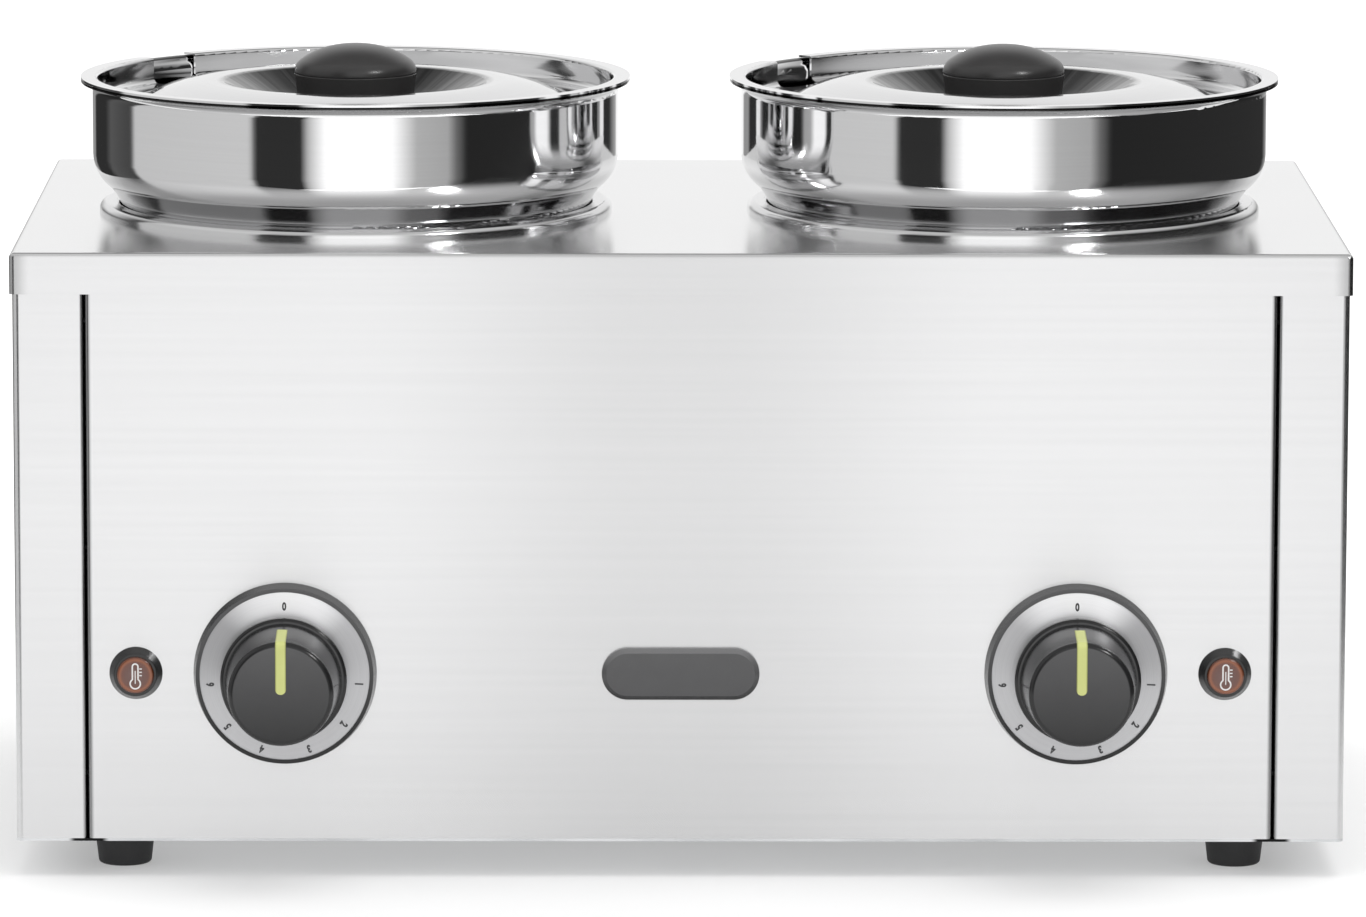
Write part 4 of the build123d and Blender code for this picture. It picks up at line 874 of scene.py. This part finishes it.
def lit_table():
    """Matt white floor with a painted glow that lifts its shadow, brighter away from the object."""
    made = moulded("floor_card", (0.62, 0.62, 0.62), (0.65, 0.65, 0.65), 0.75, 0.85, 300.0)
    tree, shader = made.node_tree, made.node_tree.nodes["Principled BSDF"]
    place = coordinate(tree, "Object")
    away = add_node(tree, "ShaderNodeVectorMath", {0: place}, operation="LENGTH").outputs["Value"]
    # painted light: the floor's own emission lightens the shadow under the cabinet, more away from it
    glow = eased(tree, away, 0.20, 0.75, 0.31, 0.56)
    shader.inputs["Emission Color"].default_value = (1.0, 1.0, 1.0, 1.0)
    tree.links.new(glow, shader.inputs["Emission Strength"])
    return made


finishes["floor_card"] = lit_table()
for floor in (floor_near, floor_far):
    floor.data.materials.append(finishes["floor_card"])
print("finishes", sorted(finishes))

# %% [markdown]
# ## Dress the frame
# The record says which slot each node takes its finish from, so the nodes are dressed by that table.
# Their meshes stay as they are: only the material in each slot changes.

# %% Assign the finishes
def dress(node, slot_name):
    thing = frame["nodes"][node]
    if not thing.data.materials:
        thing.data.materials.append(None)
    for index in range(len(thing.material_slots)):
        thing.material_slots[index].material = finishes[slot_name]


for entry in frame["record"]["subparts"]:
    dress(entry["node"], entry["material_slot"])

# %% [markdown]
# ## Numbers on the scale rings
# Each ring carries the figures 0 to 6, clockwise from the top, with their heads outwards. A picture
# could be projected on, but figures cut as thin flat meshes stay sharp. Each is made from Blender's
# own font as a mesh first. Then its points are turned to their place on the dial and laid on the
# ring, whose face rises a little towards the knob.

# %% Lay the figures on the rings
def glyph_points(text, height, narrow):
    """Flat mesh of a text in a bolder cut: an N x 2 array centred on zero, height tall, and its faces."""
    curve = bpy.data.curves.new("glyph", "FONT")
    curve.body = text
    curve.resolution_u = 4
    curve.offset = 0.05
    holder = bpy.data.objects.new("glyph", curve)
    bpy.context.collection.objects.link(holder)
    bpy.context.view_layer.update()
    flat = bpy.data.meshes.new_from_object(holder.evaluated_get(bpy.context.evaluated_depsgraph_get()))
    points = np.empty(len(flat.vertices) * 3)
    flat.vertices.foreach_get("co", points)
    points = points.reshape(-1, 3)[:, :2]
    faces = [list(polygon.vertices) for polygon in flat.polygons]
    bpy.data.objects.remove(holder)
    points = points - (points.min(axis=0) + points.max(axis=0)) / 2
    return points * (height / np.ptp(points[:, 1])) * (narrow, 1.0), faces


ring_low, ring_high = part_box("right_scale_ring")
ring_outer = half_width("right_scale_ring")
ring_bore = 15.0 * MM
ring_sheet = 0.8 * MM
ring_rise = (ring_high[1] - ring_low[1]) - ring_sheet
figure_turns = (0.0, 93.5, 127.5, 161.0, 198.0, 230.0, 266.0)
figure_height, figure_narrowing = 3.2 * MM, 0.74
zero_reach, figure_reach, scale_drop = 27.7 * MM, 27.9 * MM, 1.2 * MM
ink_height = 0.04 * MM


def ring_front(radius):
    """Y of the ring's face at a radius: the rise runs evenly from the rim to the bore."""
    return ring_low[1] + ring_rise * (radius - ring_bore) / (ring_outer - ring_bore)


def lay_figures(side):
    centre = np.array([SIDES[side] * dial_x, control_z - scale_drop])
    verts, faces = [], []
    for figure, turn in enumerate(figure_turns):
        points, polygons = glyph_points(str(figure), figure_height, figure_narrowing)
        angle = math.radians(turn)
        reach = figure_reach if figure else zero_reach
        out = np.array([math.sin(angle), math.cos(angle)])
        side_way = np.array([math.cos(angle), -math.sin(angle)])
        flat = centre + out * (reach + points[:, 1:]) + side_way * points[:, :1]
        radius = np.hypot(flat[:, 0] - SIDES[side] * dial_x, flat[:, 1] - control_z)
        faces += [[len(verts) + i for i in polygon] for polygon in polygons]
        verts += np.stack([flat[:, 0], ring_front(radius) - ink_height, flat[:, 1]], axis=1).tolist()
    mesh = bpy.data.meshes.new(f"{side}_dial_figures")
    mesh.from_pydata(verts, [], faces)
    mesh.materials.append(finishes["dark_ink"])
    made = bpy.data.objects.new(f"{side}_dial_figures", mesh)
    bpy.context.collection.objects.link(made)
    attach(made, "cabinet")
    return made


figures = [lay_figures(side) for side in SIDES]
print("figures", [(f.name, len(f.data.polygons)) for f in figures])

# %% [markdown]
# ## Thermometer signs
# Each lens carries a plain thermometer sign in white. Its outline is a path: a tube with a round top,
# running into a bulb. The print is a band of even width along that path, so each point of the path is
# moved to both sides along its normal: p + w n and p - w n, and the grid between them is the stroke.

# %% Draw the signs
def stroke(path, width, closed=True):
    """Band along a path: two rows of points, width / 2 to each side of it."""
    ahead = np.roll(path, -1, axis=0) - np.roll(path, 1, axis=0)
    if not closed:
        ahead[0], ahead[-1] = path[1] - path[0], path[-1] - path[-2]
    normal = np.stack([-ahead[:, 1], ahead[:, 0]], axis=1)
    normal = normal / np.linalg.norm(normal, axis=1, keepdims=True) * width / 2
    rows = np.concatenate([path - normal, path + normal])
    return rows, grid_faces(2, len(path), wrap=closed)


def thermometer_path():
    """Outline in millimetres: three quarters of the bulb's circle, up one side of the tube, round its
    top and down the other."""
    bulb, tube, top, middle_z = 1.9, 1.05, 4.4, -3.1
    open_half = math.asin(tube / bulb)
    around = np.linspace(math.pi / 2 + open_half, 5 * math.pi / 2 - open_half, 40)
    ball = np.stack([bulb * np.cos(around), middle_z + bulb * np.sin(around)], axis=1)
    over = np.linspace(0, math.pi, 16)
    cap = np.stack([tube * np.cos(over), top - tube + tube * np.sin(over)], axis=1)
    return np.concatenate([ball, cap])


def draw_sign(side):
    lens_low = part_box(f"{side}_pilot_lens")[0]
    verts, faces = [], []
    column = np.array([[0.0, -3.1], [0.0, 1.8]])
    ticks = [np.array([[1.5, z], [2.5, z]]) for z in (0.0, 1.25, 2.5)]
    parts = [(thermometer_path(), 0.55, True), (column, 0.35, False)]
    parts += [(tick, 0.42, False) for tick in ticks]
    for path, width, closed in parts:
        rows, quads = stroke(path, width, closed)
        faces += (quads + len(verts)).tolist()
        verts += rows.tolist()
    flat = np.array(verts) * MM
    across, up = SIDES[side] * pilot_x + flat[:, 0], control_z + flat[:, 1]
    places = np.stack([across, np.full(len(flat), lens_low[1] - 0.03 * MM), up], axis=1)
    made = mesh_object(f"{side}_lamp_sign", places, np.array(faces), smooth=False)
    made.data.materials.append(finishes["white_ink"])
    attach(made, "cabinet")
    return made


signs = [draw_sign(side) for side in SIDES]
print("signs", [(s.name, len(s.data.polygons)) for s in signs])
